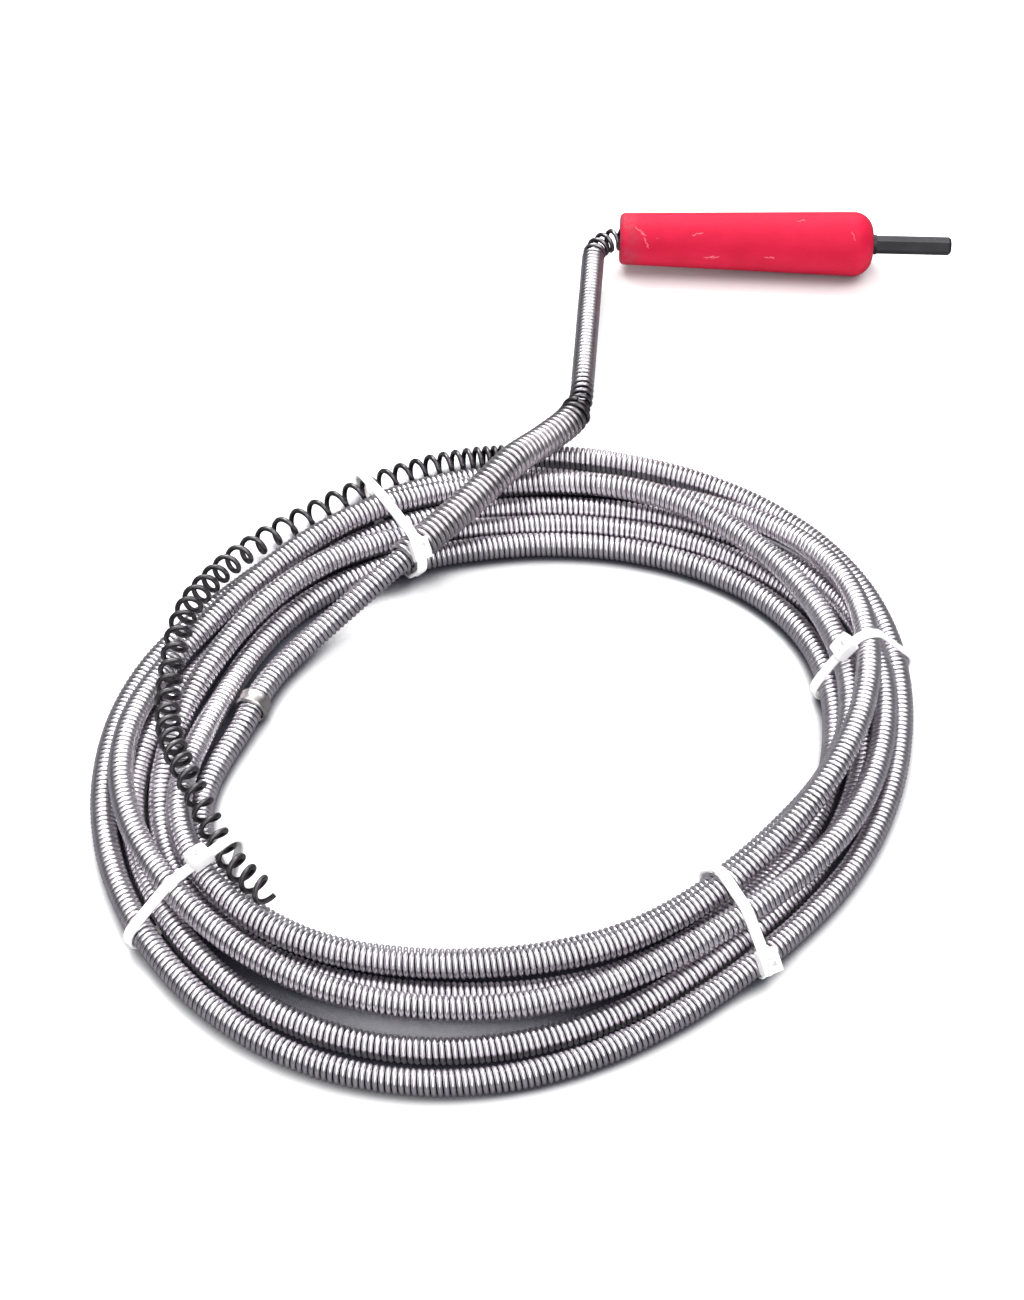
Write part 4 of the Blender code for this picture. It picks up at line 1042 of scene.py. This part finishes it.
def tie_block(name, place, out, along, side):
    """Locking block on the strap, its top sloping off at one end and recessed by a slot."""
    half_l, half_w, slope, slot_depth = LOCK_L / 2, LOCK_W / 2, 0.9, 1.7
    u_cuts = [-half_l, -half_l * 0.42, half_l * 0.30, half_l]
    v_cuts = [-half_w, -STRAP_W * 0.42, STRAP_W * 0.42, half_w]
    build = bmesh.new()
    grid = {}
    for k, level in enumerate((0.0, LOCK_T)):
        for i, u in enumerate(u_cuts):
            for j, v in enumerate(v_cuts):
                z = level - slope if k and i == 3 else level
                grid[i, j, k] = build.verts.new(place + along * u + side * v
                                                + out * (z + LOCK_LIFT))

    def face(*keys):
        build.faces.new([grid[key] for key in keys])

    for i in range(3):
        for j in range(3):
            for k in (0, 1):
                face((i, j, k), (i + 1, j, k), (i + 1, j + 1, k), (i, j + 1, k))
    for i in range(3):
        for j in (0, 3):
            face((i, j, 0), (i + 1, j, 0), (i + 1, j, 1), (i, j, 1))
    for j in range(3):
        for i in (0, 3):
            face((i, j, 0), (i, j + 1, 0), (i, j + 1, 1), (i, j, 1))
    bmesh.ops.recalc_face_normals(build, faces=build.faces)
    middle = [grid[i, j, 1] for i in (1, 2) for j in (1, 2)]
    slot = [f for f in build.faces if all(v in middle for v in f.verts)]
    bmesh.ops.inset_region(build, faces=slot, thickness=0.12, depth=0.0)
    for vert in slot[0].verts:
        vert.co -= out * slot_depth
    edges = [e for e in build.edges if e.calc_length() > 0.5 and len(e.link_faces) == 2
             and e.link_faces[0].normal.angle(e.link_faces[1].normal, 0) > 0.9
             and not any(f is slot[0] for f in e.link_faces)]
    bmesh.ops.bevel(build, geom=edges, offset=0.42, segments=3, affect="EDGES", profile=0.6,
                    clamp_overlap=True)
    return from_bmesh(name + "_block", build, tie_mat, smooth_deg=35)


def tie_tail(name, place, out, along, side):
    """The tail stands up out of the slot, leaning a little, and is cut off short."""
    below_top, height, lean, half_t = 1.4, 2.3, 0.5, 0.5
    section = [(-1, -1.5), (-1, 1.5), (-0.6, 1.75), (0.6, 1.75),
               (1, 1.5), (1, -1.5), (0.6, -1.75), (-0.6, -1.75)]
    build = bmesh.new()
    rings = []
    for k in range(6):
        share = k / 5
        centre = (place + out * (LOCK_LIFT + LOCK_T - below_top + height * share)
                  + along * (0.15 + lean * share * share))
        rings.append([build.verts.new(centre + along * (x * half_t) + side * y)
                      for x, y in section])
    for ring, other in zip(rings, rings[1:]):
        bridge(build, ring, other)
    build.faces.new(rings[0])
    build.faces.new(rings[-1])
    return from_bmesh(name + "_tail", build, tie_mat, smooth_deg=35)


def cable_tie(name, inner, outer_end, lock_side):
    plan_along, plan_side = tie_directions(inner, outer_end)
    loop = tie_loop(inner, plan_along, plan_side, lock_side)
    base = Vector((*inner, 0))
    outwards, side = Vector((*plan_along, 0)), Vector((*plan_side, 0))
    stations = [(base + outwards * float(x) + Vector((0, 0, float(z))),
                 outwards * float(out_x) + Vector((0, 0, float(out_z))))
                for x, z, out_x, out_z in zip(*eased_outline(name, loop))]
    strap = tie_strap(name, stations, side)
    place, out = stations[0]
    seat = (place, out, out.cross(side).normalized(), side)
    return strap, tie_block(name, *seat), tie_tail(name, *seat)


ties = {name: cable_tie(name, *ends, lock_side=1 if name == "tie_front" else -1)
        for name, ends in TIES.items()}


# ---------------------------------------------------------------- handle
def build_handle():
    """A tapered sleeve, bored from the cable end, with a narrower hole at the drill end."""
    start, stop = HANDLE_START, HANDLE_START + HANDLE_L
    corner, nose = 2.2, 8.0
    hole_r, hole_edge, hole_depth = 4.95, 0.4, 5.5
    nose_r = HANDLE_R0 + (HANDLE_R1 - HANDLE_R0) / HANDLE_L * (HANDLE_L - nose)
    profile = arc(start + corner, HANDLE_R0 - corner + 0.05, corner, 180, 91.5, steps=12)
    # each of the taper's points steps on from the one before
    for k in range(1, 12):
        taper_r = TAPER_FROM if False else profile[12][1]
        profile.append((start + corner + (stop - nose - start - corner) * k / 12,
                        taper_r + (nose_r - taper_r) * k / 12))
    profile += arc(stop - nose, nose_r - nose, nose, 88.5, 4, steps=18)
    profile += [(stop, nose_r - nose + 0.3), (stop, hole_r + hole_edge),
                (stop - hole_edge, hole_r), (stop - hole_depth, hole_r),
                (stop - hole_depth, HANDLE_BORE), (start + 0.02, HANDLE_BORE)]
    return lathe_on("handle_sleeve_moulded", UPPER_PIVOT, handle_axis, profile, red_mat,
                    sides=96, smooth_deg=40)


handle = build_handle()

# ---------------------------------------------------------------- carried-over parts
CARRIED = {
    "front_bush": bush_mat, "rear_bush": bush_mat, "coupling_barrel": barrel_mat,
    "set_screw_a": screw_mat, "set_screw_b": screw_mat, "cross_pin": screw_mat,
    "thrust_washer_front": washer_mat, "thrust_washer_rear": washer_mat,
    "drive_shank": shank_mat,
}
for name, material in CARRIED.items():
    part = frame["nodes"][name]
    part.data.materials.clear()
    part.data.materials.append(material)
    weld = part.modifiers.new("weld", "WELD")
    weld.merge_threshold = 1e-6
    bevel = part.modifiers.new("edges", "BEVEL")
    bevel.width = 0.22 * MM
    bevel.segments = 2
    bevel.limit_method = "ANGLE"
    bevel.angle_limit = math.radians(28)
    bevel.harden_normals = False


for obj, slot in ((riser, "cable_steel"), (guard, "guard_steel")):
    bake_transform(obj)
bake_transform(neck)
for obj in (coil, coil_shade_core):
    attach(obj, "coil")
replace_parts(coil, "cable_coil")
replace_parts(riser, "cable_riser")
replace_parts(neck, "cable_neck")
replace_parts(guard, "guard_spring")
joint = next(j for j in frame["joints"] if j["name"] == "head_flex")
tip = np.array(joint["pos_m"]) / MM - FRAME_SHIFT
tip_axis = path.at(np.array([path.nearest(tip)]))[1][0]
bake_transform(head)
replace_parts(head, "boring_head", "head_tip")
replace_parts(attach(ferrule, "coil"), "joint_ferrule")
for name, parts in ties.items():
    for obj in parts:
        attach(obj, "coil")
    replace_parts(parts[0], name)
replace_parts(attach(handle, "handle"), "handle_sleeve")


# ---------------------------------------------------------------- floor, light and camera (metres)
def floor_mat():
    """Pale floor, with painted shade in the gaps inside the bundle and a painted reflection: dark
    grey for glossy rays.
    """
    nodes = Nodes(bpy.data.materials.new("floor_pale"))
    here = nodes.object_place()
    pale = nodes.ramp(nodes.noise(here, scale=3.0, detail=2.0, rough=0.5),
                      [(0.3, (0.90, 0.90, 0.905)), (0.7, (0.93, 0.93, 0.93))])
    # painted shade: ambient occlusion darkens the floor between the laps, fully inside the ring and
    # less outside it
    occlusion = nodes.add("ShaderNodeAmbientOcclusion", {"Distance": 0.016}, samples=12)
    gap = nodes.ramp(occlusion.outputs["AO"], [(0.10, (0.03, 0.03, 0.045)),
                                               (0.40, (0.13, 0.13, 0.16)),
                                               (0.62, (1.0, 1.0, 1.0))])
    shaded = nodes.mix(1.0, pale, gap, blend="MULTIPLY")
    centre = (float(FRAME_SHIFT[0]) * MM, float(FRAME_SHIFT[1]) * MM, 0.0)
    far = nodes.add("ShaderNodeVectorMath", {0: here, 1: centre}, operation="DISTANCE")
    inside = nodes.remap(far.outputs["Value"], source=(0.140, 0.152), to=(1.0, 0.4))
    shaded = nodes.mix(inside, pale, shaded)
    # painted reflection: glossy rays see the floor dark grey, so the wire flanks reflect dark
    glossy = nodes.add("ShaderNodeLightPath").outputs["Is Glossy Ray"]
    return nodes.surface({
        "Base Color": nodes.mix(glossy, shaded, (0.16, 0.16, 0.17)),
        "Roughness": 0.75,
        "Specular IOR Level": 0.25,
    })


def build_floor():
    build = bmesh.new()
    bmesh.ops.create_grid(build, x_segments=4, y_segments=4, size=1.6)
    mesh = bpy.data.meshes.new("floor")
    build.to_mesh(mesh)
    build.free()
    floor = link_mesh("floor", mesh, floor_mat())
    floor.location = (0, 0, min(0.0, CAD_BOX[0].z) - 0.00005)


def build_world():
    """A studio sky, bright overhead; the camera itself sees plain white."""
    studio = bpy.data.worlds.new("studio")
    bpy.context.scene.world = studio
    nodes = Nodes(studio)
    direction = nodes.add("ShaderNodeTexCoord").outputs["Generated"]
    height = nodes.add("ShaderNodeSeparateXYZ", {0: direction}).outputs["Z"]
    sky = nodes.ramp(height, [(0.0, (0.10, 0.10, 0.105)), (0.3, (0.05, 0.048, 0.055)),
                              (0.55, (0.35, 0.35, 0.37)), (0.85, (1.5, 1.5, 1.5))])
    seen = nodes.add("ShaderNodeLightPath").outputs["Is Camera Ray"]
    background = nodes.tree.nodes["Background"]
    nodes.feed(background.inputs["Color"], nodes.mix(seen, sky, (1.04, 1.04, 1.045)))
    background.inputs["Strength"].default_value = 0.95


def area(name, place, size, size_y, power, target=(0, 0, 0)):
    light = bpy.data.lights.new(name, "AREA")
    light.energy = power
    light.size = size
    light.shape = "RECTANGLE"
    light.size_y = size_y
    obj = bpy.data.objects.new(name, light)
    obj.location = place
    aim = Vector(target) - Vector(place)
    obj.rotation_euler = aim.to_track_quat("-Z", "Y").to_euler()
    bpy.context.scene.collection.objects.link(obj)


def build_camera():
    """In front of the coil, looking back and 49.3 degrees down."""
    lens = bpy.data.cameras.new("camera")
    lens.sensor_fit = "AUTO"
    lens.sensor_width = 36
    lens.lens = 76.1
    lens.shift_x = 0.00975
    lens.shift_y = 0.078
    lens.clip_start = 0.01
    camera = bpy.data.objects.new("camera", lens)
    camera.location = (-0.0205, -0.6835, 0.7202)
    camera.rotation_euler = (math.radians(90 - 49.3), 0, 0)
    bpy.context.scene.collection.objects.link(camera)
    bpy.context.scene.camera = camera


build_floor()
build_world()
area("key", (-0.35, 0.75, 1.15), size=0.8, size_y=0.6, power=20)
area("fill", (0.55, -0.2, 1.2), size=0.6, size_y=0.6, power=6)
area("front", (0.15, -1.35, 1.0), size=1.7, size_y=1.1, power=13)
area("back", (0.25, 1.3, 0.55), size=1.0, size_y=0.4, power=6, target=(0, 0.05, 0))
build_camera()
bpy.context.scene.view_settings.view_transform = "Standard"

bpy.context.view_layer.update()
